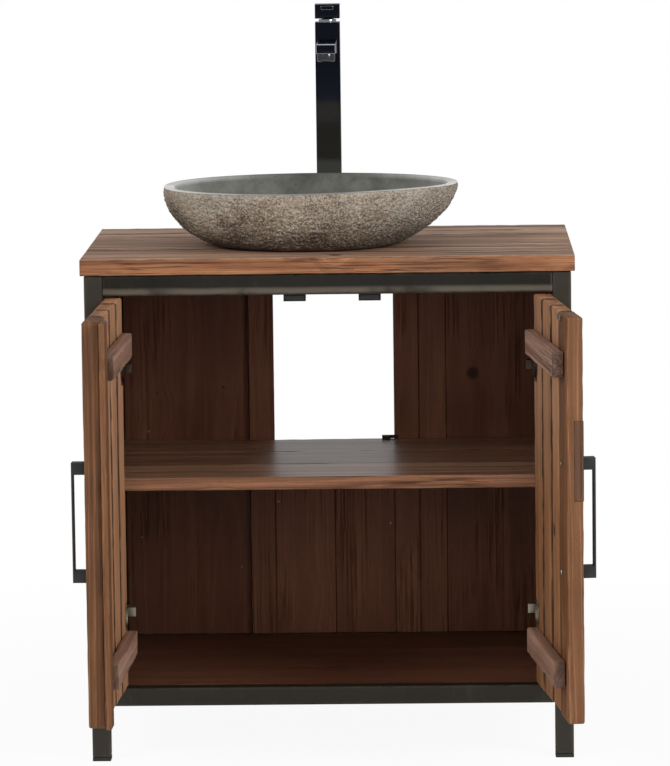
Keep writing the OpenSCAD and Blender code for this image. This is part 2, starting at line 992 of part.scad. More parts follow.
// A leaf with two knuckles, screwed to the bottom of its recess
module door_hinge_leaves() {
    knuckle_off = eye_h / 2 + knuckle_gap;
    leaf_set_back = 0.5;
    for (z = hinge_heights)
        difference() {
            union() {
                block(
                    [door_hinge_x + leaf_set_back, mortise_x],
                    [mortise_y - leaf_t, mortise_y],
                    [z - knuckle_off - knuckle_h, z + knuckle_off + knuckle_h]
                );
                for (low = [z - knuckle_off - knuckle_h, z + knuckle_off]) {
                    translate([pin_x, pin_y, low]) cylinder(r = knuckle_r, h = knuckle_h);
                    block(
                        [pin_x, pin_x + knuckle_r],
                        [pin_y, mortise_y - leaf_t / 2],
                        [low, low + knuckle_h]
                    );
                }
            }
            translate([pin_x, pin_y, z - mortise_h]) cylinder(r = pin_r, h = 2 * mortise_h);
        }
}

module door_hinge_pins() {
    pin_l = knuckles_h + mortise_play;
    for (z = hinge_heights)
        translate([pin_x, pin_y, z - pin_l / 2]) cylinder(r = pin_r, h = pin_l);
}

module door_left_boards() {
    color(door_colour) on_left_door() door_boards(false);
}

module door_left_battens() {
    color(door_colour) on_left_door() door_battens(strip_w - strip_reach + strip_batten_gap);
}

// Closes the gap between the doors from behind, with a step that keeps it off the right door
module door_left_cover_strip() {
    right_x = door_free_x + strip_reach;
    left_x = right_x - strip_w;
    inner_y = door_t + strip_t;
    bevel = 1;
    color(door_colour)
        on_left_door()
            translate([0, 0, door_low])
                linear_extrude(height = door_high - door_low)
                    polygon([
                        [left_x, door_t], [door_free_x, door_t],
                        [door_free_x, door_t + strip_play], [right_x, door_t + strip_play],
                        [right_x, inner_y - bevel], [right_x - bevel, inner_y],
                        [left_x + bevel, inner_y], [left_x, inner_y - bevel]
                    ]);
}

module door_left_handle() {
    color(steel_colour) on_left_door() door_handle();
}

module door_left_handle_screws() {
    color(bright_colour) on_left_door() door_handle_screws();
}

module door_left_strike() {
    color(bright_colour) on_left_door() door_strike(catch_left);
}

module door_left_hinge_cups() {
    color(bright_colour) on_left_door() door_hinge_cups();
}

module door_left_hinge_leaves() {
    color(bright_colour) on_left_door() door_hinge_leaves();
}

module door_left_hinge_pins() {
    color(bright_colour) on_left_door() door_hinge_pins();
}

module door_right_boards() {
    color(door_colour) on_right_door() door_boards(true);
}

module door_right_battens() {
    color(door_colour) on_right_door() door_battens(batten_edge_gap);
}

// A repair piece let into the outer corner of the right door's meeting edge
module door_right_patch() {
    color(top_colour)
        on_right_door()
            block([door_free_x - patch_w, door_free_x], [0, patch_t], [patch_z, patch_z + patch_h]);
}

module door_right_handle() {
    color(steel_colour) on_right_door() door_handle();
}

module door_right_handle_screws() {
    color(bright_colour) on_right_door() door_handle_screws();
}

module door_right_strike() {
    color(bright_colour) on_right_door() door_strike(catch_right);
}

module door_right_hinge_cups() {
    color(bright_colour) on_right_door() door_hinge_cups();
}

module door_right_hinge_leaves() {
    color(bright_colour) on_right_door() door_hinge_leaves();
}

module door_right_hinge_pins() {
    color(bright_colour) on_right_door() door_hinge_pins();
}

// The basin is one loft. Angle t runs round the plan from plus X.
basin_steps = 60;
plan_power = 2.25;
bowl_power = 2.4;
rim_round = 1.5;

// Plan radius of a superellipse, flattened a little here and there as a river stone is
function plan_r(t, a, b) =
    pow(pow(abs(cos(t)) / a, plan_power) + pow(abs(sin(t)) / b, plan_power), -1 / plan_power)
    * (1 + 0.012 * sin(2 * t + 30) + 0.008 * sin(3 * t + 200));

// Height of the rim, which rises to the back and at the front right
function rim_z(t) = top_z + basin_h + 2.5 * sin(t) + 4 * pow(max(0, cos(t + 38)), 4);

// Draw-in and roundness of the wall, blended between the four sides
function draw(t) =
    (cos(t) > 0 ? draw_right : draw_left) * pow(cos(t), 2)
    + (sin(t) > 0 ? draw_back : draw_front) * pow(sin(t), 2);
function roundness(t) = 2.05 - 0.25 * cos(t);

// How far the wall lies inside the rim at height h, from 0 at the base to 1 at the rim
function inset(t, h) =
    let (n = roundness(t))
        draw(t) * (1 - pow(1 - pow(1 - h, n), 1 / n));

function lumps(t, h) = lump * h * (1 - h) * 4 * (sin(5 * t + 200 * h) + 0.7 * sin(9 * t - 310 * h));

// Points of the outer wall, the rim and the bowl
function wall_point(t, h) =
    let (r = plan_r(t, basin_w / 2, basin_d / 2) - inset(t, h) + lumps(t, h))
        [basin_x + r * cos(t), basin_y + r * sin(t), top_z + h * (rim_z(t) - rim_round - top_z)];

function rim_point(t, drop, in) =
    let (r = plan_r(t, basin_w / 2, basin_d / 2) - in)
        [basin_x + r * cos(t), basin_y + r * sin(t), rim_z(t) - drop];

// The bowl is a superellipse in section, from the flat at the drain (s = 0) to the rim (s = 1)
function bowl_point(t, s) =
    let (
        edge = plan_r(t, basin_w / 2 - rim_w, basin_d / 2 - rim_w),
        r = drain_flat_r + s * (edge - drain_flat_r),
        rise = 1 - pow(1 - pow(s, bowl_power), 1 / bowl_power)
    )
        [basin_x + r * cos(t), basin_y + r * sin(t), bowl_z + rise * (rim_z(t) - rim_round - bowl_z)];

wall_levels = [0, 0.03, 0.1, 0.2, 0.34, 0.5, 0.66, 0.82, 0.94, 1];
bowl_levels = [1, 0.985, 0.95, 0.89, 0.8, 0.68, 0.52, 0.3, 0];
basin_angles = [for (i = [0 : basin_steps - 1]) i * 360 / basin_steps];
basin_rings = concat(
    [for (h = wall_levels) [for (t = basin_angles) wall_point(t, h)]],
    [[for (t = basin_angles) rim_point(t, 0, 2)]],
    [[for (t = basin_angles) rim_point(t, 0.3, rim_w - 3)]],
    [for (s = bowl_levels) [for (t = basin_angles) bowl_point(t, s)]]
);

// Joins rings of equal length into a closed skin, with flat ends
module loft(rings) {
    n = len(rings[0]);
    last = len(rings) - 1;
    sides = [
        for (k = [0 : last - 1])
            for (i = [0 : n - 1])
                let (j = (i + 1) % n)
                    for (face = [
                        [k * n + i, k * n + j, (k + 1) * n + j],
                        [k * n + i, (k + 1) * n + j, (k + 1) * n + i]
                    ])
                        [face[0], face[2], face[1]]
    ];
    low = [for (i = [0 : n - 1]) i];
    high = [for (i = [0 : n - 1]) last * n + n - 1 - i];
    points = [for (ring = rings) for (p = ring) p];
    polyhedron(points = points, faces = concat(sides, [low], [high]), convexity = 6);
}

module basin() {
    color(stone_colour)
        placed()
            difference() {
                loft(basin_rings);
                translate([basin_x, basin_y, top_z - over])
                    cylinder(r = tail_r + tail_stone_gap, h = bowl_floor + 2 * over);
            }
}

// Flanged tail with a three-armed guide for the plug's stem
module waste_body() {
    tail_low = under_top - tail_l;
    inner_r = tail_r - tail_wall;
    groove_r = tail_r - groove_depth;
    groove_z = [tail_low + tail_thread_l, tail_low + tail_thread_l + groove_h];
    guide_h = 8;
    hub_r = stem_r + 3;
    arm_t = 2;
    bevel = 2;
    color(bright_colour)
        placed()
            translate([basin_x, basin_y, 0])
                difference() {
                    union() {
                        rotate_extrude()
                            polygon([
                                [inner_r, tail_low], [tail_r, tail_low],
                                [tail_r, groove_z[0]], [groove_r, groove_z[0]],
                                [groove_r, groove_z[1]], [tail_r, groove_z[1]],
                                [tail_r, bowl_z], [waste_flange_r, bowl_z],
                                [waste_flange_r, bowl_z + waste_flange_t - bevel],
                                [waste_flange_r - bevel, bowl_z + waste_flange_t],
                                [inner_r + bevel, bowl_z + waste_flange_t],
                                [inner_r, bowl_z + waste_flange_t - bevel]
                            ]);
                        translate([0, 0, guide_z]) cylinder(r = hub_r, h = guide_h);
                        for (a = [0, 120, 240])
                            rotate([0, 0, a])
                                block(
                                    [0, inner_r + tail_wall / 2],
                                    [-arm_t / 2, arm_t / 2],
                                    [guide_z, guide_z + guide_h]
                                );
                    }
                    translate([0, 0, guide_z - over]) cylinder(r = stem_r + stem_fit, h = guide_h + 2 * over);
                }
}

// A six-sided backnut under the worktop
module backnut(x, y, across, thread_r) {
    color(bright_colour)
        placed()
            translate([x, y, under_top - nut_h])
                difference() {
                    cylinder(r = across / 2, h = nut_h, $fn = 6);
                    translate([0, 0, -over]) cylinder(r = thread_r + nut_fit, h = nut_h + 2 * over);
                }
}

module waste_nut() {
    backnut(basin_x, basin_y, waste_nut_w, tail_r);
}

// Domed plug on a stem, stored raised
module waste_plug() {
    plug_seat_gap = 0.3;
    low = bowl_z + waste_flange_t + plug_seat_gap + plug_travel;
    dome = 3;
    chamfer = 1;
    color(bright_colour)
        placed()
            translate([basin_x, basin_y, 0])
                rotate_extrude()
                    polygon([
                        [0, guide_z - plug_travel], [stem_r, guide_z - plug_travel], [stem_r, low],
                        [plug_r - chamfer, low], [plug_r, low + chamfer], [plug_r, low + plug_t],
                        [plug_r * 0.7, low + plug_t + dome * 0.7],
                        [plug_r * 0.35, low + plug_t + dome * 0.95],
                        [0, low + plug_t + dome]
                    ]);
}

// Square column with its spout and threaded shank in one casting
module tap_body() {
    spout_side = [
        [tap_y, spout_z], [spout_tip_y + 1, spout_z], [spout_tip_y, spout_z - 1],
        [spout_tip_y, spout_z - spout_tip_h],
        [aerator_y + aerator_r, spout_z - spout_tip_h],
        [tap_y - tap_w / 2, spout_z - spout_root_h],
        [tap_y, spout_z - spout_root_h]
    ];
    color(black_colour)
        placed()
            difference() {
                union() {
                    bar_z(
                        [tap_x - tap_w / 2, tap_x + tap_w / 2],
                        [tap_y - tap_w / 2, tap_y + tap_w / 2],
                        [top_z, tap_top],
                        tap_ease
                    );
                    translate([tap_x - spout_w / 2, 0, 0])
                        rotate([90, 0, 90])
                            linear_extrude(height = spout_w)
                                polygon(spout_side);
                    translate([tap_x, tap_y, under_top - shank_l])
                        cylinder(r = shank_r, h = shank_l + top_t + over);
                }
                translate([tap_x, tap_y, tap_top - neck_in])
                    cylinder(r = neck_r + neck_fit, h = neck_in + over);
                translate([tap_x, aerator_y, spout_z - spout_tip_h - over])
                    cylinder(r = aerator_plug_r, h = spout_tip_h / 2 + over);
                for (side = [-1, 1])
                    translate([tap_x + side * inlet_pitch / 2, tap_y, under_top - shank_l - over])
                        cylinder(r = inlet_r, h = inlet_l + over);
            }
}

// Outlet ring with a spigot in the spout
module tap_aerator() {
    low = spout_z - spout_tip_h - aerator_h;
    plug_top = low + aerator_h + spout_tip_h / 2 - 0.5;
    jet_r = 8;
    jet_top = low + aerator_h - 3;
    bevel = 1.5;
    color(bright_colour)
        placed()
            translate([tap_x, aerator_y, 0])
                rotate_extrude()
                    polygon([
                        [jet_r, low], [aerator_r - bevel, low], [aerator_r, low + bevel],
                        [aerator_r, low + aerator_h], [aerator_plug_r, low + aerator_h],
                        [aerator_plug_r, plug_top], [0, plug_top],
                        [0, jet_top], [jet_r, jet_top]
                    ]);
}

module tap_nut() {
    backnut(tap_x, tap_y, tap_nut_w, shank_r);
}

// Neck that swivels in the column and carries the lever on two trunnions
module tap_cartridge() {
    neck_top = lever_z - 2;
    head_top = trunnion_z + 2 * trunnion_r;
    color(bright_colour)
        placed()
            translate([tap_x, tap_y, 0]) {
                translate([0, 0, tap_top - neck_in]) cylinder(r = neck_r, h = neck_top - tap_top + neck_in);
                translate([0, 0, neck_top - over]) cylinder(r = head_r, h = head_top - neck_top + over);
                translate([-trunnion_l / 2, 0, trunnion_z])
                    rotate([0, 90, 0])
                        cylinder(r = trunnion_r, h = trunnion_l);
            }
}

// Hollow lever block with a slot in its front
module tap_lever() {
    half = tap_w / 2;
    shell_t = 3;
    hollow_h = 16;
    pin_play = 0.5;
    slot_w = 20;
    slot_h = 6;
    slot_t = 2;
    slot_top = lever_z + lever_h - 3;
    color(black_colour)
        placed()
            translate([tap_x, tap_y, 0])
                difference() {
                    bar_z([-half, half], [-half, half], [lever_z, lever_z + lever_h], tap_ease);
                    block(
                        [-cheek_x, cheek_x],
                        [shell_t - half, half - shell_t],
                        [lever_z - over, lever_z + hollow_h]
                    );
                    translate([-trunnion_l / 2 - pin_play, 0, trunnion_z])
                        rotate([0, 90, 0])
                            cylinder(r = trunnion_r + trunnion_fit, h = trunnion_l + 2 * pin_play);
                    block(
                        [-slot_w / 2, slot_w / 2],
                        [-half - over, -half + slot_t],
                        [slot_top - slot_h, slot_top]
                    );
                }
}

leg_front_left();
leg_front_right();
leg_rear_left();
leg_rear_right();
leg_feet();
top_rail_front();
top_rail_rear();
top_rails_side();
low_rail_front();
low_rail_rear();
low_rails_side();
worktop_front_plank();
worktop_second_plank();
worktop_third_plank();
worktop_rear_plank();
worktop_cleats();
catch_rail();
side_boards_left();
side_boards_right();
back_stile_left();
back_stile_right();
back_boards_left();
back_boards_right();
back_boards_centre();
shelf_boards();
shelf_cleats();
shelf_clip();
floor_boards();
floor_bearers();
catch_bodies();
catch_magnets();
hinge_arms_left();
hinge_arms_right();
door_left_boards();
door_left_battens();
door_left_cover_strip();
door_left_handle();
door_left_handle_screws();
door_left_strike();
door_left_hinge_cups();
door_left_hinge_leaves();
door_left_hinge_pins();
door_right_boards();
door_right_battens();
door_right_patch();
door_right_handle();
door_right_handle_screws();
door_right_strike();
door_right_hinge_cups();
door_right_hinge_leaves();
door_right_hinge_pins();
basin();
waste_body();
waste_nut();
waste_plug();
tap_body();
tap_aerator();
tap_nut();
tap_cartridge();
tap_lever();
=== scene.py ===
"""Looks of a teak vanity unit with a square-tube steel frame, a river-stone basin and a tall tap."""
import functools
import logging
import math
from collections.abc import Callable
from dataclasses import dataclass, field
from enum import Enum

import bmesh
import bpy
import numpy as np
from mathutils import Matrix


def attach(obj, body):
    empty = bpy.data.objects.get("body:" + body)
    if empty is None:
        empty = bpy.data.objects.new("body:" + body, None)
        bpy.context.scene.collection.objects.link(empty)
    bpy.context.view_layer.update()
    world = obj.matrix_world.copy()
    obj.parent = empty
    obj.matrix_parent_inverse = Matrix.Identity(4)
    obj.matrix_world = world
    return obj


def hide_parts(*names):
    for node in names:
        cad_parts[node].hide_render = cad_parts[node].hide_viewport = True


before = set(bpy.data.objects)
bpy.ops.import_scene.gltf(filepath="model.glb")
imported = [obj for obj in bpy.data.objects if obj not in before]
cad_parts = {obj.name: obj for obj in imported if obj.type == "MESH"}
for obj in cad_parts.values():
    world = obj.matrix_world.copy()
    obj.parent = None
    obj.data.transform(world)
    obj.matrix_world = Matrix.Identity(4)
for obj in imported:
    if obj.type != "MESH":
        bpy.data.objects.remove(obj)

LOG = logging.getLogger("vanity")
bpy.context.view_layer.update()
MM_PER_M = 1000.0

Span = tuple[float, float]
Point = tuple[float, float, float]
Colour = tuple[float, float, float]


# Places

@dataclass(frozen=True)
class Layout:
    """Sizes that the sub-assemblies share, in millimetres.

    X is zero at the middle of the cabinet, Y at the front of its legs, Z on the floor.
    """

    shift_x: float = -10.2182203
    shift_y: float = -87.15
    frame_w: float = 788.0
    frame_d: float = 530.0
    tube: float = 30.0
    top_w: float = 800.0
    top_z: float = 826.0
    top_t: float = 27.0
    rail_z: float = 765.0
    low_rail_z: float = 91.0
    low_rail_top: float = 121.0
    shelf_z: float = 462.0
    stile_y: float = 490.0
    back_y: float = 494.0
    back_t: float = 16.0
    pin_x: float = -354.4
    pin_y: float = 7.2
    left_open: float = 92.0
    right_open: float = 96.5
    basin_x: float = -29.0
    basin_y: float = 229.0
    tap_x: float = -4.0
    tap_y: float = 474.0
    column: float = 42.0

    @property
    def under_top(self) -> float:
        """Height of the worktop's lower face."""
        return self.top_z - self.top_t

    @property
    def leg_x(self) -> float:
        """Distance from the middle to a leg's outer face."""
        return self.frame_w / 2

    @property
    def inner_x(self) -> float:
        """Distance from the middle to a leg's inner face."""
        return self.frame_w / 2 - self.tube


PLAN = Layout()


@dataclass(frozen=True)
class Seat:
    """The CAD body that a piece rides on, and the way from its millimetres to the frame's metres."""

    body: str
    matrix: Matrix

    @staticmethod
    def cabinet(body: str = "cabinet") -> "Seat":
        """Returns the seat of pieces that are drawn where they stand, on the cabinet or another body."""
        shift = Matrix.Translation((PLAN.shift_x, PLAN.shift_y, 0.0))
        return Seat(body, Matrix.Scale(1.0 / MM_PER_M, 4) @ shift)

    @staticmethod
    def door(side: "Side") -> "Seat":
        """Returns the seat of a door, which is drawn closed and on the left.

        Args:
            side: The door's side.
        """
        pin = Matrix.Translation((PLAN.pin_x, PLAN.pin_y, 0.0))
        angle = PLAN.left_open if side is Side.LEFT else PLAN.right_open
        swing = pin @ Matrix.Rotation(-math.radians(angle), 4, "Z") @ pin.inverted()
        mirror = Matrix.Diagonal((side.value * -1.0, 1.0, 1.0, 1.0))
        return Seat("door_" + side.word, Seat.cabinet().matrix @ mirror @ swing)


class Side(Enum):
    """The two sides of the cabinet, with the sign of X on each."""

    LEFT = -1
    RIGHT = 1

    @property
    def word(self) -> str:
        """The side's name in lower case."""
        return self.name.lower()

    def span(self, inner: float, outer: float) -> Span:
        """Returns the span along X between two distances from the middle, the nearer one first."""
        return (inner, outer) if self is Side.RIGHT else (-outer, -inner)


class Along(Enum):
    """The axis that a bar's length or a board's grain follows, as the order of the axes."""

    X = (0, 1, 2)
    Y = (1, 2, 0)
    Z = (2, 0, 1)


# Shader arithmetic

def operator(operation: str, swapped: bool = False) -> Callable[["Wire", object], "Wire"]:
    """Makes the method behind one of Python's operators.

    Args:
        operation: The Math node's operation.
        swapped: Whether the wire is the second value.

    Returns:
        The method.
    """

    def method(self: "Wire", other: object) -> "Wire":
        """Returns the result as a wire."""
        return self.join(operation, other, self) if swapped else self.join(operation, self, other)

    return method


class Wire:
    """A node's output that takes part in Python arithmetic."""

    def __init__(self, graph: "Graph", socket: bpy.types.NodeSocket) -> None:
        """Keeps the output socket and the graph that it belongs to."""
        self.graph = graph
        self.socket = socket

    def join(self, operation: str, left: object, right: object) -> "Wire":
        """Adds a Math node, or a Vector Math node for vectors, and returns its output."""
        kind = "ShaderNodeVectorMath" if self.socket.type in ("VECTOR", "RGBA") else "ShaderNodeMath"
        return self.graph.node(kind, {"operation": operation}, {0: left, 1: right})

    __add__, __radd__ = operator("ADD"), operator("ADD", swapped=True)
    __sub__, __rsub__ = operator("SUBTRACT"), operator("SUBTRACT", swapped=True)
    __mul__, __rmul__ = operator("MULTIPLY"), operator("MULTIPLY", swapped=True)

    def between(self, low: float, high: float) -> "Wire":
        """Returns a smooth step from 0 at low to 1 at high."""
        ranged = {"interpolation_type": "SMOOTHSTEP"}
        return self.graph.node("ShaderNodeMapRange", ranged, {0: self, 1: low, 2: high, 3: 0.0, 4: 1.0})

    def until(self, low: float, high: float) -> "Wire":
        """Returns a smooth step from 1 at low to 0 at high."""
        return 1.0 - self.between(low, high)


class Graph:
    """A node tree that is built from wires."""

    def __init__(self, tree: bpy.types.NodeTree) -> None:
        """Keeps the tree and empties it."""
        self.tree = tree
        tree.nodes.clear()

    def node(
        self,
        kind: str,
        settings: dict[str, object] | None = None,
        inputs: dict[int | str, object] | None = None,
        output: int | str = 0,
    ) -> Wire:
        """Adds any node.

        Args:
            kind: The node's type.
            settings: Its settings, set before its sockets. "stops" holds a ramp's places and colours.
            inputs: The values or wires of its sockets.
            output: Which output to return.

        Returns:
            That output.
        """
        made = self.tree.nodes.new(kind)
        for key, value in (settings or {}).items():
            if key == "stops":
                ramp = made.color_ramp
                while len(ramp.elements) < len(value):
                    ramp.elements.new(0.5)
                for element, (place, colour) in zip(ramp.elements, value):
                    element.position = place
                    element.color = (*colour, 1.0)
            else:
                setattr(made, key, value)
        for key, value in (inputs or {}).items():
            self.plug(made.inputs[key], value)
        return Wire(self, made.outputs[output])

    def plug(self, socket: bpy.types.NodeSocket, value: object) -> None:
        """Gives a socket a value or links a wire to it.

        Args:
            socket: The socket.
            value: A wire, a number, or a tuple.
        """
        if isinstance(value, Wire):
            self.tree.links.new(value.socket, socket)
        elif isinstance(value, tuple) and len(socket.default_value) > len(value):
            socket.default_value = (*value, 1.0)
        elif not hasattr(socket.default_value, "__len__"):
            socket.default_value = value
        elif isinstance(value, tuple):
            socket.default_value = value
        else:
            socket.default_value = (value,) * len(socket.default_value)

    def show(self, surface: Wire, kind: str = "ShaderNodeOutputMaterial") -> None:
        """Ends the tree in a shader, at its output node of that type, which is made if it isn't there."""
        there = [node for node in self.tree.nodes if node.bl_idname == kind]
        self.plug((there or [self.tree.nodes.new(kind)])[0].inputs[0], surface)

    def attribute(self, name: str) -> Wire:
        """Returns the vector of a mesh attribute."""
        return self.node("ShaderNodeAttribute", {"attribute_name": name}, output="Vector")

    def place(self) -> Wire:
        """Returns the Object coordinates."""
        return self.node("ShaderNodeTexCoord", output="Object")

    def part(self, vector: Wire, index: int) -> Wire:
        """Returns one component of a vector."""
        return self.node("ShaderNodeSeparateXYZ", None, {0: vector}, index)

    def join(self, x: object, y: object, z: object) -> Wire:
        """Returns a vector of three components."""
        return self.node("ShaderNodeCombineXYZ", None, {0: x, 1: y, 2: z})

    def length(self, vector: Wire) -> Wire:
        """Returns a vector's length."""
        return self.node("ShaderNodeVectorMath", {"operation": "LENGTH"}, {0: vector}, "Value")

    def noise(self, vector: Wire, scale: float, detail: float = 3.0, rough: float = 0.5) -> Wire:
        """Returns fractal noise between 0 and 1, with its features per metre and its octaves."""
        inputs = {"Vector": vector, "Scale": scale, "Detail": detail, "Roughness": rough}
        return self.node("ShaderNodeTexNoise", None, inputs)

    def drawn(self, grain: Wire, along: float, across: float, detail: float = 3.0, rough: float = 0.5) -> Wire:
        """Returns noise that is drawn out along the grain, with its features per metre along and across."""
        return self.noise(grain * (along, across, across), 1.0, detail, rough)

    def cells(self, vector: Wire, scale: float) -> Wire:
        """Returns the distance to the nearest of scattered points, in cells."""
        return self.node("ShaderNodeTexVoronoi", None, {"Vector": vector, "Scale": scale})

    def ramp(self, factor: Wire, *stops: tuple[float, Colour]) -> Wire:
        """Returns a colour ramp's colour."""
        return self.node("ShaderNodeValToRGB", {"stops": stops}, {0: factor})

    def mix(self, low: object, high: object, factor: object) -> Wire:
        """Returns a colour between two, of which the second shows where the factor is 1."""
        return self.node("ShaderNodeMix", {"data_type": "RGBA"}, {0: factor, 6: low, 7: high}, 2)

    def bump(self, height: Wire, distance: float, strength: float = 1.0) -> Wire:
        """Returns a normal bent by a height between 0 and 1, where 1 stands for a distance in metres."""
        inputs = {"Height": height, "Distance": distance, "Strength": strength}
        return self.node("ShaderNodeBump", None, inputs)


class Shade(Graph):
    """A material whose surface is one Principled shader."""

    def __init__(self, name: str) -> None:
        """Makes the material.

        Args:
            name: Its name.
        """
        self.material = bpy.data.materials.new(name)
        self.material.use_nodes = True
        super().__init__(self.material.node_tree)
        self.surface = self.node("ShaderNodeBsdfPrincipled")
        self.show(self.surface)

    def set(self, **values: object) -> None:
        """Sets sockets of the Principled shader, with spaces for underscores in their names."""
        for key, value in values.items():
            self.plug(self.surface.socket.node.inputs[key.replace("_", " ")], value)


def scaled(colour: Colour, factor: float) -> Colour:
    """Returns a colour times a factor, with no part above 1."""
    red, green, blue = (min(1.0, factor * part) for part in colour)
    return (red, green, blue)


# Finishes

@dataclass(frozen=True)
class Wood:
    """Oiled reclaimed teak. It reads each board's own coordinates, so the grain runs along the board."""

    name: str
    slot: str
    dark: Colour
    middle: Colour
    light: Colour
    patina_and_sheen: Colour = (0.34, 0.25, 0.19)
    patina_and_sheen_share: float = 0.0
    contrast: float = 1.0
    furrows: float = 0.4
    rough: float = 0.55
    wear: float = 0.3
    coat: float = 0.0
    shine: float = 0.25
    seams: float = 0.7
    streaks: float = 1.3
    clouds: float = 0.68
    joints: float = 0.7
    faded: Colour | None = None

    def material(self) -> bpy.types.Material:
        """Builds the material.

        Growth rings are bands of the distance from a pith that lies outside the board, and bend round a few
        knots. Fibres, streaks and pores are noise drawn out along the grain. Each board has a tone of its own.
        """
        shade = Shade(self.name)
        grain = shade.attribute("grain")
        mark = shade.attribute("mark")
        tone, edge, joint = (shade.part(mark, index) for index in range(3))
        up = shade.part(shade.node("ShaderNodeNewGeometry", output="Normal"), 2).between(0.3, 0.9)
        sway = shade.drawn(grain, 1.6, 7.0, 2.0)
        knot = shade.cells(grain * (5.0, 5.0, 5.0), 1.0)
        radius = shade.length(grain * (0.0, 1.0, 1.0)) + sway * 0.035 + knot.until(0.0, 0.3) * 0.014
        rings = shade.noise(shade.join(radius, 0.0, tone * 9.0), 150.0, 3.0, 0.6)
        bands = shade.noise(shade.join(radius, tone * 5.0, 0.0), 34.0, 2.0)
        fibre = shade.drawn(grain, 7.0, 330.0, 4.0, 0.65)
        streak = shade.drawn(grain, 1.5, 62.0, 3.0, 0.65)
        pores = shade.drawn(grain, 55.0, 1500.0, 1.0)
        blotch = shade.drawn(grain, 3.0, 12.0, 3.0, 0.6)
        figure = (rings - 0.5) * 0.9 + (bands - 0.5) * 0.9 + (fibre - 0.5) * 1.1
        figure = (figure + (streak - 0.5) * self.streaks) * self.contrast
        figure = figure + (blotch - 0.5) * self.clouds + (tone - 0.5) * 0.5 + 0.5
        bright, black = scaled(self.light, 1.42), scaled(self.dark, 0.3)
        stops = ((0.12, self.dark), (0.42, self.middle), (0.68, self.light), (0.92, bright))
        colour = shade.ramp(figure, *stops)
        # Lighter colour on upward faces: weathered patina on the worktop, and a painted sheen on the shelf.
        if self.patina_and_sheen_share:
            share = up * (figure.between(0.2, 0.9) * 0.7 + 0.3)
            colour = shade.mix(colour, self.patina_and_sheen, share * self.patina_and_sheen_share)
        # Painted light: the doors' inner faces are lightened by a share that changes with height.
        if self.faded is not None:
            colour = shade.mix(colour, self.faded, shade.part(shade.attribute("faded"), 0))
        furrow = shade.drawn(grain, 1.1, 40.0, 5.0, 0.75).between(0.54, 0.62)
        split = shade.drawn(grain, 1.7, 120.0, 3.0, 0.7) - 0.5
        crack = (split * split).until(0.0, 0.0008) * blotch.between(0.5, 0.6)
        # Dark rounded edges: dirt, and painted shade in the grooves between boards.
        seam = edge.between(0.5, 0.9) * shade.drawn(grain, 14.0, 30.0, 3.0, 0.7).between(0.36, 0.5)
        line = rings - 0.5
        late = (line * line).until(0.0, 0.004) * fibre.between(0.3, 0.6)
        worn = edge * shade.drawn(grain, 30.0, 60.0, 2.0).between(0.4, 0.7)
        for tint, share in (
            (self.dark, late * (0.6 * self.contrast)),
            (scaled(self.dark, 0.7), furrow * (up * 0.6 + 0.4) * self.furrows),
            (black, crack * (0.35 + 0.35 * self.contrast)),
            (black, seam * self.seams),
            # Dirt, and painted shade beside the next board: wide on the doors, and beside the stile on the left
            # back boards.
            (black, joint.between(0.3, 0.8) * self.joints),
            (self.dark, pores.between(0.6, 0.75) * 0.5),
            (black, knot.until(0.03, 0.075) * 0.8),
            (bright, worn * self.wear),
        ):
            colour = shade.mix(colour, tint, share)
        height = fibre * 0.4 + streak * 0.6 + pores * 0.2 - crack * 0.9 - furrow * (0.5 * self.furrows)
        roughness = (fibre - 0.5) * 0.16 + (blotch - 0.5) * 0.25 + self.rough
        shade.set(Base_Color=colour, Roughness=roughness, Normal=shade.bump(height, 0.0012, 0.9))
        shade.set(Specular_IOR_Level=self.shine, Coat_Weight=up * self.coat, Coat_Roughness=0.32)
        return shade.material


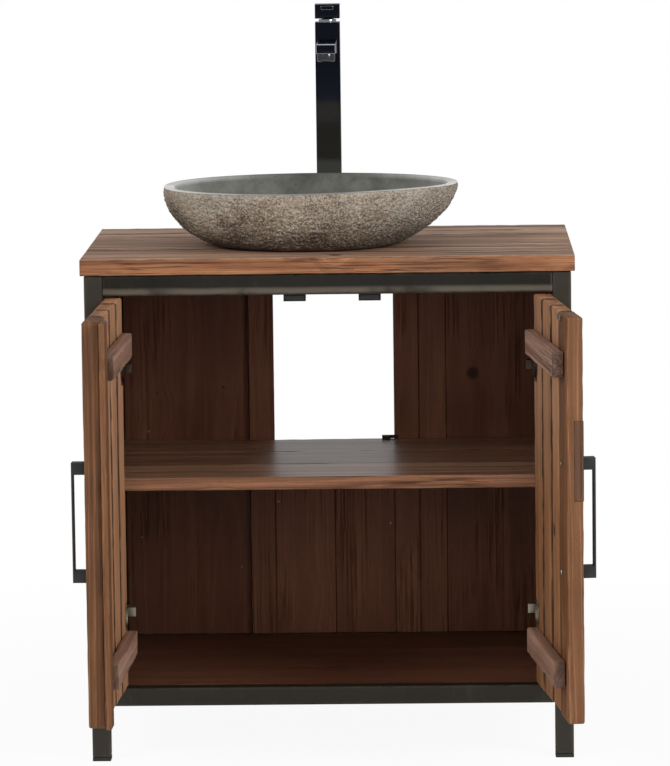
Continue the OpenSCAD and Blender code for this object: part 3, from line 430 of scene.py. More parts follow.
@dataclass(frozen=True)
class Stone:
    """River stone: pecked and weathered outside, honed on the rim and in the bowl."""

    name: str = "river_stone"
    slot: str = "stone"

    def material(self) -> bpy.types.Material:
        """Builds the material. The attribute "face" holds how honed a point is, the rim's painted highlight and
        the height.
        """
        shade = Shade(self.name)
        place = shade.place()
        face = shade.attribute("face")
        honed, rim, high = (shade.part(face, index) for index in range(3))
        cloud = shade.noise(place, 11.0, 4.0, 0.6)
        speck = shade.noise(place, 260.0, 4.0, 0.75)
        grit = shade.noise(place, 620.0, 2.0, 0.7)
        patch = shade.noise(place, 75.0, 3.0, 0.6)
        mottle = shade.noise(place, 26.0, 6.0, 0.7)
        crust = speck * 0.55 + grit * 0.3 + patch * 0.14 + cloud * 0.36 + high * 0.16 - 0.215
        outside = self.weathered(shade, place, crust, speck, high.until(0.0, 0.5))
        inside = shade.ramp(
            mottle * 0.7 + cloud * 0.5 - 0.1,
            (0.36, (0.052, 0.056, 0.045)),
            (0.5, (0.084, 0.088, 0.073)),
            (0.64, (0.130, 0.134, 0.114)),
        )
        dots = shade.cells(place, 110.0).until(0.10, 0.24) * patch.between(0.45, 0.6)
        inside = shade.mix(inside, (0.030, 0.032, 0.027), dots * 0.6)
        # Painted highlight on the rim, strongest at its ends and front.
        inside = shade.mix(inside, (0.88, 0.87, 0.84), rim * (mottle.between(0.3, 0.7) * 0.2 + 0.8))
        pits = shade.cells(place * (1.0, 1.0, 1.3), 210.0)
        height = (speck * 0.6 + grit * 0.3 + pits * 0.5) * (1.0 - honed) + mottle * 0.02
        shade.set(Base_Color=shade.mix(outside, inside, honed), Normal=shade.bump(height, 0.0055))
        shade.set(Roughness=0.92 - honed * 0.26 + (mottle - 0.5) * 0.12, Specular_IOR_Level=0.3)
        return shade.material

    def weathered(self, shade: Shade, place: Wire, crust: Wire, speck: Wire, low: Wire) -> Wire:
        """Returns the colour outside: a crust with rust, pale clouds, pocks and painted light on its right
        side, darker towards the base.

        Args:
            shade: The material.
            place: The place on the stone.
            crust: How light the crust is.
            speck: Its fine grain.
            low: How near the base is.
        """
        colour = shade.ramp(
            crust,
            (0.40, (0.028, 0.020, 0.014)),
            (0.47, (0.098, 0.073, 0.053)),
            (0.54, (0.235, 0.185, 0.138)),
            (0.63, (0.44, 0.375, 0.30)),
        )
        rust = shade.noise(place, 24.0, 3.0, 0.6).between(0.48, 0.66)
        mist = shade.noise(place, 16.0, 3.0).between(0.5, 0.7)
        # Painted light: the stone's right side is paler.
        pale = shade.part(place, 0).between(-0.02, 0.22) * speck.between(0.3, 0.6)
        pock = shade.cells(place, 170.0).until(0.16, 0.34) * speck.between(0.38, 0.5)
        for tint, share in (
            ((0.20, 0.125, 0.075), rust * 0.3),
            ((0.33, 0.32, 0.27), mist * 0.35),
            ((0.50, 0.46, 0.40), pale * 0.55),
            ((0.07, 0.047, 0.033), low * 0.45),
            ((0.014, 0.010, 0.007), pock * (low * 0.4 + 0.55)),
        ):
            colour = shade.mix(colour, tint, share)
        return colour


@dataclass(frozen=True)
class Coated:
    """Metal or plastic under paint, plate or nothing, with a fine texture and rubbed places.

    "band" is a pale stripe, a painted reflection, and "dark_heights" a darker zone, each between two
    heights in metres. On the steel, the tones and rounded edges, and on the outlet, the bevels, draw towards
    "rubbed_and_lit" as painted light and highlights, besides real wear.
    """

    name: str
    slot: str
    colour: Colour
    rubbed_and_lit: Colour
    rough: float = 0.4
    metal: float = 0.0
    texture: float = 300.0
    depth: float = 0.0001
    smears: float = 0.15
    shine: float = 0.4
    edges: float = 0.0
    band: Span = (0.0, 0.0)
    dark_heights: Span = (0.0, 0.0)

    def material(self) -> bpy.types.Material:
        """Builds the material."""
        shade = Shade(self.name)
        place = shade.place()
        level = shade.part(place, 2)
        cloud = shade.noise(place, 9.0, 4.0, 0.6)
        smear = shade.noise(place * (1.0, 1.0, 0.35), 45.0, 4.0, 0.65)
        peel = shade.noise(place, self.texture, 2.0)
        scuff = smear.between(0.55, 0.75) * cloud.between(0.4, 0.65)
        mark = shade.attribute("mark")
        tone = shade.part(mark, 0)
        # Lighter edges: wear with a painted highlight along the steel tubes' rounded corners, and a painted
        # highlight on the outlet's bevels.
        edge = shade.part(mark, 1) * smear.between(0.3, 0.6)
        edge = edge + shade.part(shade.attribute("bevel"), 0) * self.edges
        # Tone draws the steel towards the lighter colour: fully on the legs and side rails, not at all on the
        # top front and rear rails, as painted light and shade.
        colour = shade.mix(self.colour, self.rubbed_and_lit, scuff * 0.6 + cloud * 0.25 + tone * 0.6)
        # Painted reflection: a pale stripe along the lower part of the top front and rear rails.
        if any(self.band):
            low, high = self.band
            ragged = level + (cloud - 0.5) * 0.006
            stripe = ragged.between(low, low + 0.004) * ragged.until(high - 0.007, high)
            stripe = stripe * (1.0 - tone) * cloud.between(0.3, 0.55)
            colour = shade.mix(colour, scaled(self.rubbed_and_lit, 2.6), stripe * 0.9)
        colour = shade.mix(colour, scaled(self.rubbed_and_lit, 2.2), edge * 0.7)
        # Darker zone between two heights, which darkens the upper hinge parts.
        if any(self.dark_heights):
            low, high = self.dark_heights
            darkened = level.between(low, low + 0.06) * level.until(high - 0.02, high)
            colour = shade.mix(colour, (0.03, 0.018, 0.012), darkened * 0.9)
        rough = self.rough + (smear - 0.5) * self.smears + (cloud - 0.5) * self.smears
        shade.set(Base_Color=colour, Roughness=rough, Metallic=self.metal, IOR=1.5)
        shade.set(Specular_IOR_Level=self.shine, Normal=shade.bump(peel, self.depth, 0.6))
        return shade.material


@dataclass(frozen=True)
class Lacquer:
    """Black lacquer with a painted reflection by height, grey-green towards the foot of the tap and bluish
    higher up, and a painted highlight on the bevels at the spout's tip.
    """

    name: str
    slot: str
    rough: float = 0.1
    film: Span = (0.90, 1.12)
    tip_y: Span = (0.219, 0.222)

    def material(self) -> bpy.types.Material:
        """Builds the material."""
        shade = Shade(self.name)
        place = shade.place()
        cloud = shade.noise(place * (1.0, 1.0, 0.4), 18.0, 3.0, 0.6)
        high = shade.part(place, 2) + (cloud - 0.5) * 0.01
        # Painted reflection by height: grey-green towards the foot, black in the middle, bluish towards the
        # top.
        film = shade.ramp(
            high.between(*self.film),
            (0.0, (0.040, 0.042, 0.036)),
            (0.10, (0.036, 0.037, 0.032)),
            (0.14, (0.0155, 0.015, 0.013)),
            (0.72, (0.012, 0.0115, 0.0105)),
            (0.78, (0.002, 0.0035, 0.009)),
            (1.0, (0.002, 0.003, 0.006)),
        )
        speck = shade.noise(place, 900.0, 2.0)
        colour = shade.mix(film, (0.03, 0.03, 0.03), speck.between(0.68, 0.76) * 0.4)
        # Painted highlight on the bevels at the spout's front end.
        tip_highlight = shade.part(place, 1).until(*self.tip_y) * shade.part(shade.attribute("bevel"), 0)
        colour = shade.mix(colour, (0.50, 0.51, 0.54), tip_highlight * 0.8)
        shade.set(Base_Color=colour, Roughness=(cloud - 0.5) * 0.08 + self.rough, Specular_IOR_Level=0.1)
        shade.set(Normal=shade.bump(cloud, 0.0004, 0.2))
        return shade.material


class Finish(Enum):
    """Every finish on the object."""

    TOP = Wood(
        "teak_top_looks", "teak_top", (0.065, 0.024, 0.011), (0.225, 0.088, 0.038), (0.36, 0.165, 0.078),
        patina_and_sheen=(0.71, 0.505, 0.37), patina_and_sheen_share=0.85, contrast=0.85, furrows=0.75, rough=0.6, streaks=1.0,
    )
    DOOR = Wood(
        "teak_door_looks", "teak_doors", (0.055, 0.022, 0.009), (0.160, 0.066, 0.0255), (0.262, 0.120, 0.053),
        contrast=0.75, seams=0.3, furrows=0.3, streaks=0.8, joints=0.95, faded=(0.66, 0.37, 0.22),
    )
    BATTEN = Wood(
        "teak_batten_looks", "teak_doors", (0.080, 0.038, 0.024), (0.225, 0.118, 0.078), (0.33, 0.195, 0.14),
        contrast=0.65, seams=0.4, rough=0.65,
    )
    PATCH = Wood(
        "teak_patch_looks", "teak_patch", (0.042, 0.019, 0.0095), (0.076, 0.034, 0.017), (0.112, 0.053, 0.028),
        contrast=0.5, clouds=0.4, seams=0.2,
    )
    INSIDE = Wood(
        "teak_inside_looks", "teak_inside", (0.047, 0.0165, 0.009), (0.112, 0.042, 0.0225),
        (0.175, 0.072, 0.040), contrast=0.32, furrows=0.08, rough=0.5, coat=0.06, shine=0.14, streaks=0.7,
        clouds=0.75,
    )
    SHELF = Wood(
        "teak_shelf_looks", "teak_inside", (0.046, 0.018, 0.009), (0.130, 0.054, 0.027), (0.235, 0.108, 0.058),
        patina_and_sheen=(0.50, 0.29, 0.18), patina_and_sheen_share=0.7, contrast=0.85, furrows=0.6, rough=0.4, coat=1.0,
        shine=0.15,
    )
    STONE = Stone()
    STEEL = Coated(
        "frame_steel_looks", "frame_steel", (0.0045, 0.0035, 0.0015), (0.034, 0.028, 0.021),
        texture=420.0, shine=0.24, band=(0.7665, 0.7805),
    )
    HANDLE = Coated(
        "handle_steel_looks", "handle_steel", (0.012, 0.013, 0.013), (0.03, 0.031, 0.03), rough=0.42
    )
    GLOSS = Lacquer("black_gloss_looks", "black_gloss")
    CHROME = Coated(
        "chrome_looks", "chrome", (0.43, 0.44, 0.47), (0.30, 0.31, 0.34), rough=0.06, metal=1.0, smears=0.08,
        depth=0.00002,
    )
    # Dark metal with bright bevels: a painted reflection of dark surroundings, and painted highlights, on the
    # outlet.
    OUTLET = Coated(
        "outlet_looks", "chrome", (0.10, 0.105, 0.115), (0.05, 0.05, 0.055), rough=0.16, metal=1.0,
        smears=0.08, depth=0.00002, edges=6.0,
    )
    BRASS = Coated("brass_looks", "brass", (0.55, 0.40, 0.19), (0.36, 0.26, 0.12), rough=0.36, metal=1.0)
    ZINC = Coated(
        "zinc_looks", "zinc", (0.35, 0.31, 0.23), (0.18, 0.155, 0.11), rough=0.42, metal=1.0, smears=0.2,
        dark_heights=(0.50, 0.71),
    )
    MAGNET = Coated("magnet_looks", "zinc", (0.030, 0.030, 0.028), (0.055, 0.055, 0.05), rough=0.5)
    PLASTIC = Coated(
        "black_plastic_looks", "black_plastic", (0.012, 0.012, 0.011), (0.025, 0.025, 0.022), rough=0.55
    )

    @functools.cache
    def material(self) -> bpy.types.Material:
        """Returns the finish's material, which is built once."""
        return self.value.material()

    def dress(self, piece: bpy.types.Object) -> None:
        """Gives an object this finish on all its slots.

        Args:
            piece: The object.
        """
        made = self.material()
        if not piece.material_slots:
            piece.data.materials.append(made)
        for slot in piece.material_slots:
            slot.material = made


# Meshes

SHARP = 40.0


@dataclass
class Skin:
    """Closed solids that are put together into one mesh, in millimetres."""

    points: list[np.ndarray] = field(default_factory=list)
    faces: list[list[int]] = field(default_factory=list)
    count: int = 0

    def add(self, points: np.ndarray, *faces: np.ndarray) -> None:
        """Adds a closed solid, with its faces turned outward.

        Its signed volume, the sum over its triangles of a . (b x c), is negative where they point inward.

        Args:
            points: Its points, one row each.
            faces: Arrays of triangles and of quads.
        """
        volume = 0.0
        for group in faces:
            for last in range(2, group.shape[1]):
                a, b, c = (points[group[:, index]] for index in (0, last - 1, last))
                volume += float(np.einsum("ij,ij->", a, np.cross(b, c)))
        for group in faces:
            turned = group if volume > 0.0 else group[:, ::-1]
            self.faces.extend((turned + self.count).tolist())
        self.points.append(points)
        self.count += len(points)

    def loft(self, rings: np.ndarray) -> None:
        """Adds a skin over rings of equal length, with a fan over each end.

        Args:
            rings: Points by ring and place in the ring.
        """
        rows, size = rings.shape[:2]
        ends = rings[[0, -1]].mean(axis=1)
        points = np.concatenate([rings.reshape(-1, 3), ends])
        here = np.arange(size)
        ahead = np.roll(here, -1)
        rise = (np.arange(rows - 1) * size)[:, None]
        corners = [rise + here, rise + ahead, rise + ahead + size, rise + here + size]
        walls = np.stack(corners, axis=-1).reshape(-1, 4)
        low = np.stack([ahead, here, np.full(size, rows * size)], axis=-1)
        top = (rows - 1) * size
        high = np.stack([top + here, top + ahead, np.full(size, rows * size + 1)], axis=-1)
        self.add(points, walls, low, high)

    def torus(self, rings: np.ndarray) -> None:
        """Adds a skin over rings whose last one joins the first.

        Args:
            rings: Points by ring and place in the ring.
        """
        rows, size = rings.shape[:2]
        cells = np.arange(rows * size).reshape(rows, size)
        over = np.roll(cells, -1, axis=0)
        walls = np.stack([cells, np.roll(cells, -1, axis=1), np.roll(over, -1, axis=1), over], axis=-1)
        self.add(rings.reshape(-1, 3), walls.reshape(-1, 4))

    def turned(self, outline: list[Span], centre: Span, steps: int) -> None:
        """Adds a solid of revolution round an upright axis.

        Args:
            outline: Radius and height along the profile.
            centre: The axis.
            steps: Number of steps round it.
        """
        radius, height = np.array(outline).T[..., None]
        angle = circle(steps)
        self.loft(rings_at(centre[0] + radius * np.cos(angle), centre[1] + radius * np.sin(angle), height))

    def make(self, name: str, seat: Seat, sharp: float = SHARP) -> bpy.types.Object:
        """Makes an object with its place in its mesh.

        Args:
            name: The object's name.
            seat: Where the solids lie.
            sharp: Edges that turn more than this many degrees stay sharp.

        Returns:
            The object, at the origin.
        """
        mesh = bpy.data.meshes.new(name)
        mesh.from_pydata(np.concatenate(self.points).tolist(), [], self.faces)
        settle(mesh, seat, sharp)
        return add_object(name, mesh)


def circle(steps: int) -> np.ndarray:
    """Returns equal angles round a full turn, in radians."""
    return np.linspace(0.0, 2.0 * math.pi, steps, endpoint=False)


def rings_at(x: np.ndarray, y: np.ndarray, z: np.ndarray) -> np.ndarray:
    """Returns points by ring and place in the ring, from coordinates that are spread to one shape."""
    return np.stack(np.broadcast_arrays(x, y, z), axis=-1)


def waves(place: np.ndarray, seed: int, size: float, octaves: int = 3) -> np.ndarray:
    """Smooth fractal noise about 0, with most values between -1 and 1.

    Each octave is a sum of plane sine waves in random directions, with half the size and half the height of
    the last. A sum of 18 such waves stays mostly within 4.5.

    Args:
        place: Points in millimetres, one row each.
        seed: Which noise.
        size: Size of the largest features in millimetres.
        octaves: Number of octaves.

    Returns:
        One value for each point.
    """
    count, usual = 18, 4.5
    rng = np.random.default_rng(seed)
    total = np.zeros(len(place))
    for octave in range(octaves):
        turn = rng.normal(size=(count, 3))
        turn /= np.linalg.norm(turn, axis=1, keepdims=True)
        phase = rng.uniform(0.0, 2.0 * math.pi, count)
        stretch = rng.uniform(0.7, 1.4, count)
        swing = place @ (turn * stretch[:, None]).T * (2.0 * math.pi * 2.0**octave / size) + phase
        total += np.sin(swing).sum(axis=1) / usual / 2.0**octave
    return total


def add_object(name: str, data: bpy.types.ID) -> bpy.types.Object:
    """Adds an object at the origin.

    Args:
        name: Its name.
        data: Its mesh, camera or lamp.

    Returns:
        The object.
    """
    added = bpy.data.objects.new(name, data)
    bpy.context.scene.collection.objects.link(added)
    return added


def settle(mesh: bpy.types.Mesh, seat: Seat, sharp: float) -> None:
    """Moves a mesh to its seat and shades it.

    Args:
        mesh: The mesh, in the seat's millimetres.
        seat: Where it lies. A mirrored seat turns the faces back outward.
        sharp: Edges that turn more than this many degrees stay sharp.
    """
    mesh.transform(seat.matrix)
    if seat.matrix.determinant() < 0.0:
        mesh.flip_normals()
    mesh.update()
    mesh.shade_smooth()
    mesh.set_sharp_from_angle(angle=math.radians(sharp))


def finish_piece(piece: bpy.types.Object, seat: Seat, finish: Finish, *nodes: str) -> None:
    """Dresses a piece and ties it to the frame.

    Args:
        piece: The object.
        seat: Its seat.
        finish: Its finish.
        nodes: The CAD nodes that it stands for.
    """
    finish.dress(piece)
    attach(piece, seat.body)
    if nodes:
        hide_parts(*nodes)
    stands_for = ", ".join(nodes) or "itself"
    LOG.info("%s: %d faces on %s for %s", piece.name, len(piece.data.polygons), seat.body, stands_for)


def section(half: Span, ease: float, arc: int = 4) -> tuple[np.ndarray, np.ndarray, np.ndarray]:
    """A rectangle with rounded corners, as base points and outward directions.

    A point at distance ease from its base lies on the outline, so a shorter distance draws the whole outline
    in. Each flat has points about 14 mm apart, of which the first and last lie near the corners.

    Args:
        half: Half of the width and half of the height.
        ease: Radius of the corners.
        arc: Steps on each corner.

    Returns:
        Base points, directions, and 1 on a corner or 0 on a flat.
    """
    pitch, most, nearest = 14.0, 14, 3.0
    signs = ((1, 1), (-1, 1), (-1, -1), (1, -1))
    corners = [np.array([sx * (half[0] - ease), sy * (half[1] - ease)]) for sx, sy in signs]
    bases, ways, round_ = [], [], []
    for index, corner in enumerate(corners):
        angle = math.pi / 2 * (index + np.linspace(0.0, 1.0, arc + 1))
        bases.append(np.tile(corner, (arc + 1, 1)))
        ways.append(np.stack([np.cos(angle), np.sin(angle)], axis=1))
        round_.append(np.ones(arc + 1))
        ahead = corners[(index + 1) % 4]
        reach = float(np.linalg.norm(ahead - corner))
        margin = min(0.3, nearest / max(reach, 1.0))
        share = np.linspace(margin, 1.0 - margin, max(2, min(most, int(reach / pitch))))
        bases.append(corner + share[:, None] * (ahead - corner))
        ways.append(np.tile(ways[-1][-1], (len(share), 1)))
        round_.append(np.zeros(len(share)))
    return np.concatenate(bases), np.concatenate(ways), np.concatenate(round_)


@dataclass(frozen=True)
class Bar:
    """A straight bar with rounded edges, such as a board or a tube."""

    x: Span
    y: Span
    z: Span
    along: Along = Along.X
    ease: float = 1.5
    worn: float = 0.0
    ripple: float = 0.0

    def rings(self, seed: int) -> np.ndarray:
        """Points of the bar, by place along its length and place round it.

        The outline is carried along the length, in steps of about 18 mm, and drawn in at both ends as a quarter
        circle is. Noise draws the flats and, more, the corners in, so that the bar never leaves its box.

        Args:
            seed: Which noise.
        """
        spans = (self.x, self.y, self.z)
        length, wide, high = (spans[index] for index in self.along.value)
        half = ((wide[1] - wide[0]) / 2, (high[1] - high[0]) / 2)
        base, way, round_ = section(half, self.ease)
        turn = np.radians([82.0, 60.0, 38.0, 18.0, 0.0])
        total = length[1] - length[0]
        step, margin = 18.0, self.ease + 2.0
        inner = np.linspace(margin, total - margin, max(3, int(total / step)))
        start = self.ease * (1.0 - np.sin(turn))
        place = np.concatenate([start, inner, total - start[::-1]])
        end = self.ease * np.cos(turn)
        drawn = np.concatenate([end, np.full(len(inner), self.ease), end[::-1]])
        rings = np.empty((len(place), len(base), 3))
        outline = base[None] + drawn[:, None, None] * way[None]
        rings[..., self.along.value[0]] = (length[0] + place)[:, None]
        rings[..., self.along.value[1]] = (wide[0] + wide[1]) / 2 + outline[..., 0]
        rings[..., self.along.value[2]] = (high[0] + high[1]) / 2 + outline[..., 1]
        if self.worn or self.ripple:
            flat = rings.reshape(-1, 3)
            squeeze = np.ones(3)
            squeeze[self.along.value[0]] = 0.25
            dip = self.ripple * 0.5 * (1.0 + np.clip(waves(flat * squeeze, seed, 60.0), -1.0, 1.0))
            chip = self.worn * np.clip(waves(flat, seed + 1, 46.0, 4) - 0.15, 0.0, 1.2)
            broad = np.abs(way[:, 0 if half[0] < half[1] else 1])
            depth = dip.reshape(rings.shape[:2]) * broad[None] + chip.reshape(rings.shape[:2]) * round_[None]
            rings[..., self.along.value[1]] -= depth * way[None, :, 0]
            rings[..., self.along.value[2]] -= depth * way[None, :, 1]
        return rings


def span_of(span: Span, count: int, index: int, joint: float = 0.0) -> Span:
    """Returns the span of one of several equal boards.

    Args:
        span: The span that they fill together.
        count: Number of boards.
        index: Which board.
        joint: Gap between two boards.
    """
    width = (span[1] - span[0] - (count - 1) * joint) / count
    low = span[0] + index * (width + joint)
    return (low, low + width)


def thirds(span: Span) -> list[Span]:
    """Returns the spans of three equal boards."""
    return [span_of(span, 3, index) for index in range(3)]


@dataclass
class Boards:
    """Boards or tubes that make up one CAD node, each with grain of its own.

    "stain" is how far from the next board, or from the bars of "near", dirt and painted shade darken them.
    "faded" is how much painted light lightens their inner faces below and above. The piece is named after the
    node unless it has a name.
    """

    node: str
    finish: Finish
    bars: list[Bar]
    seed: int = 1
    seat: Seat = field(default_factory=Seat.cabinet)
    name: str = ""
    cutter: Skin | None = None
    tones: tuple[float, ...] = ()
    stain: float = 3.2
    near: tuple[Bar, ...] = ()
    faded: Span = (0.0, 0.0)
    painted_light_z: Span = (420.0, 600.0)
    edge_w: float = 3.5

    def build(self) -> None:
        """Builds the piece."""
        name = self.name or self.node + ("_tube" if self.finish is Finish.STEEL else "_teak")
        skin = Skin()
        for index, bar in enumerate(self.bars):
            skin.loft(bar.rings(self.seed * 50 + index * 2))
        if self.cutter is None:
            made, points = skin.make(name, self.seat), np.concatenate(skin.points)
        else:
            made, points = self.cut(name, skin)
        self.paint(made.data, points)
        finish_piece(made, self.seat, self.finish, self.node)

    def cut(self, name: str, skin: Skin) -> tuple[bpy.types.Object, np.ndarray]:
        """Takes the cutter's solids out of the boards.

        Args:
            name: The piece's name.
            skin: The boards.

        Returns:
            The object, and its points in the seat's millimetres.
        """
        whole = Seat(self.seat.body, Matrix.Identity(4))
        made, tool = skin.make(name, whole), self.cutter.make(name + "_tool", whole)
        boolean = made.modifiers.new("cut", "BOOLEAN")
        boolean.operation = "DIFFERENCE"
        boolean.solver = "EXACT"
        boolean.object = tool
        mesh = bpy.data.meshes.new_from_object(made.evaluated_get(bpy.context.evaluated_depsgraph_get()))
        made.modifiers.clear()
        made.data = mesh
        bpy.data.objects.remove(tool)
        points = np.empty(len(mesh.vertices) * 3)
        mesh.vertices.foreach_get("co", points)
        settle(mesh, self.seat, SHARP)
        return made, points.reshape(-1, 3)

    def paint(self, mesh: bpy.types.Mesh, points: np.ndarray) -> None:
        """Writes the attributes that the wood reads.

        "grain" is the place in the board's own log, in metres: along the grain, and across it from a pith
        outside the board. "mark" holds the board's tone, how near the point is to an edge, and how near it is
        to the next board. "faded" is how much painted light lightens the inner face.

        Args:
            mesh: The mesh.
            points: Its points in the seat's millimetres.
        """
        rng = np.random.default_rng(self.seed)
        middle, half = self.boxes(self.bars)
        offset = np.abs(points[:, None] - middle[None]) - half[None]
        owner = offset.max(axis=2).argmin(axis=1)
        inward = np.sort(-np.take_along_axis(offset, owner[:, None, None], axis=1)[:, 0], axis=1)[:, 1]
        grain = np.empty((len(points), 3))
        tone = np.array(self.tones or rng.uniform(0.2, 0.8, len(self.bars)))
        for index, bar in enumerate(self.bars):
            axes = list(bar.along.value)
            angle = rng.uniform(0.0, 2.0 * math.pi)
            away = rng.uniform(50.0, 110.0) + half[index][axes[1:]].max() * 0.6
            pith = (rng.uniform(500.0, 5000.0), away * math.cos(angle), away * math.sin(angle))
            own = points[owner == index] - middle[index]
            grain[owner == index] = (own[:, axes] + pith) / MM_PER_M
        middles, halves = self.boxes([*self.bars, *self.near])
        reach = np.abs(points[:, None] - middles[None]) - halves[None]
        outside = np.linalg.norm(np.maximum(reach, 0.0), axis=2)
        outside[np.arange(len(points)), owner] = np.inf
        joint = np.clip(1.0 - outside.min(axis=1) / self.stain, 0.0, 1.0)
        mark = np.stack([tone[owner], np.clip(1.0 - inward / self.edge_w, 0.0, 1.0), joint], axis=1)
        for name, values in (("grain", grain), ("mark", mark)):
            mesh.attributes.new(name, "FLOAT_VECTOR", "POINT").data.foreach_set("vector", values.ravel())
        if any(self.faded):
            # Painted light on the inner faces, changing with height; the last board gets none.
            share = np.interp(points[:, 2], self.painted_light_z, self.faded)
            share *= (points[:, 1] > middle[0, 1]) & (owner < len(self.bars) - 1)
            mesh.attributes.new("faded", "FLOAT", "POINT").data.foreach_set("value", share)

    @staticmethod
    def boxes(bars: list[Bar]) -> tuple[np.ndarray, np.ndarray]:
        """Returns the middles and the half sizes of bars."""
        spans = np.array([[bar.x, bar.y, bar.z] for bar in bars])
        return spans.mean(axis=2), np.ptp(spans, axis=2) / 2


def softened(
    node: str, finish: Finish, width: float = 0.6, seat_body: str = "cabinet", sharp: float = 30.0
) -> None:
    """Replaces a CAD node by a copy of its surface with rounded edges.

    The face attribute "bevel" is 1 on the rounded edges.

    Args:
        node: The node.
        finish: Its finish.
        width: Radius of the edges in millimetres.
        seat_body: The body that it rides on.
        sharp: Edges that turn more than this many degrees are rounded.
    """
    weld, level = 2e-6, 0.005
    work = bmesh.new()
    work.from_mesh(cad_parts[node].data)
    bmesh.ops.remove_doubles(work, verts=work.verts, dist=weld)
    bmesh.ops.dissolve_limit(work, angle_limit=math.radians(1.0), verts=work.verts, edges=work.edges)
    limit = math.radians(sharp)
    edges = [edge for edge in work.edges if edge.is_manifold and edge.calc_face_angle(0.0) > limit]
    turning = set(edges)
    flat = work.faces.layers.int.new("flat")
    rounded = work.faces.layers.float.new("bevel")
    for face in work.faces:
        face[flat] = int(all(edge in turning or edge.calc_face_angle(1.0) < level for edge in face.edges))
    bevel = {"segments": 3, "profile": 0.5, "affect": "EDGES", "clamp_overlap": True}
    for face in bmesh.ops.bevel(work, geom=edges, offset=width / MM_PER_M, **bevel)["faces"]:
        face[flat] = 0
        face[rounded] = 1.0
    for face in work.faces:
        face.smooth = not face[flat]
    mesh = bpy.data.meshes.new(node + "_dressed")
    work.to_mesh(mesh)
    work.free()
    mesh.set_sharp_from_angle(angle=math.radians(SHARP))
    finish_piece(add_object(node + "_dressed", mesh), Seat(seat_body, Matrix.Identity(4)), finish, node)


# Sub-assemblies

@dataclass
class SteelFrame:
    """Legs, rails and foot caps of square steel tube. The top front and rear rails are darker than the legs, a
    painted shadow under the worktop's overhang, and the low front and rear rails are a little darker.
    """

    ease: float = 3.0
    foot_t: float = 6.0
    pale_top: float = 0.0
    pale_low: float = 0.6

    def build(self) -> None:
        """Builds the frame."""
        ends = {"front": (0.0, PLAN.tube), "rear": (PLAN.frame_d - PLAN.tube, PLAN.frame_d)}
        levels = {"top": (PLAN.rail_z, PLAN.under_top), "low": (PLAN.low_rail_z, PLAN.low_rail_top)}
        # Tones towards the lighter steel colour: the top rails' 0.0 is a painted shadow under the worktop's
        # overhang.
        pale = {"top": self.pale_top, "low": self.pale_low}
        outer = {side: side.span(PLAN.inner_x, PLAN.leg_x) for side in Side}
        inner, depth = (-PLAN.inner_x, PLAN.inner_x), (PLAN.tube, PLAN.frame_d - PLAN.tube)
        for end, y in ends.items():
            for side, x in outer.items():
                leg = Bar(x, y, (self.foot_t, PLAN.under_top), Along.Z, self.ease)
                Boards(f"leg_{end}_{side.word}", Finish.STEEL, [leg], tones=(1.0,)).build()
            for level, z in levels.items():
                rail = Bar(inner, y, z, Along.X, self.ease)
                Boards(f"{level}_rail_{end}", Finish.STEEL, [rail], tones=(pale[level],)).build()
        for level, z in levels.items():
            rails = [Bar(x, depth, z, Along.Y, self.ease) for x in outer.values()]
            Boards(f"{level}_rails_side", Finish.STEEL, rails, tones=(1.0, 1.0)).build()
        softened("leg_feet", Finish.PLASTIC, 1.2)


@dataclass
class Worktop:
    """Four thick planks with cleats under them."""

    edges: tuple[float, ...] = (-5.0, 172.0, 372.0, 440.0, 535.0)
    names: tuple[str, ...] = ("front", "second", "third", "rear")
    cleat_w: float = 30.0
    cleat_h: float = 20.0
    stain: float = 4.5

    def build(self) -> None:
        """Builds the planks and cleats."""
        x, z = (-PLAN.top_w / 2, PLAN.top_w / 2), (PLAN.under_top, PLAN.top_z)
        planks = [
            Bar(x, span, z, Along.X, 1.6, worn=0.9, ripple=0.5) for span in zip(self.edges, self.edges[1:])
        ]
        for index, name in enumerate(self.names):
            near = (*planks[max(0, index - 1):index], *planks[index + 1:index + 2])
            plank, marks = [planks[index]], {"near": near, "stain": self.stain}
            Boards(f"worktop_{name}_plank", Finish.TOP, plank, 11 + index, **marks).build()
        y, z = (PLAN.tube * 2, PLAN.stile_y), (PLAN.under_top - self.cleat_h, PLAN.under_top)
        cleats = [Bar(side.span(PLAN.inner_x - self.cleat_w, PLAN.inner_x), y, z, Along.Y) for side in Side]
        Boards("worktop_cleats", Finish.INSIDE, cleats, 21).build()


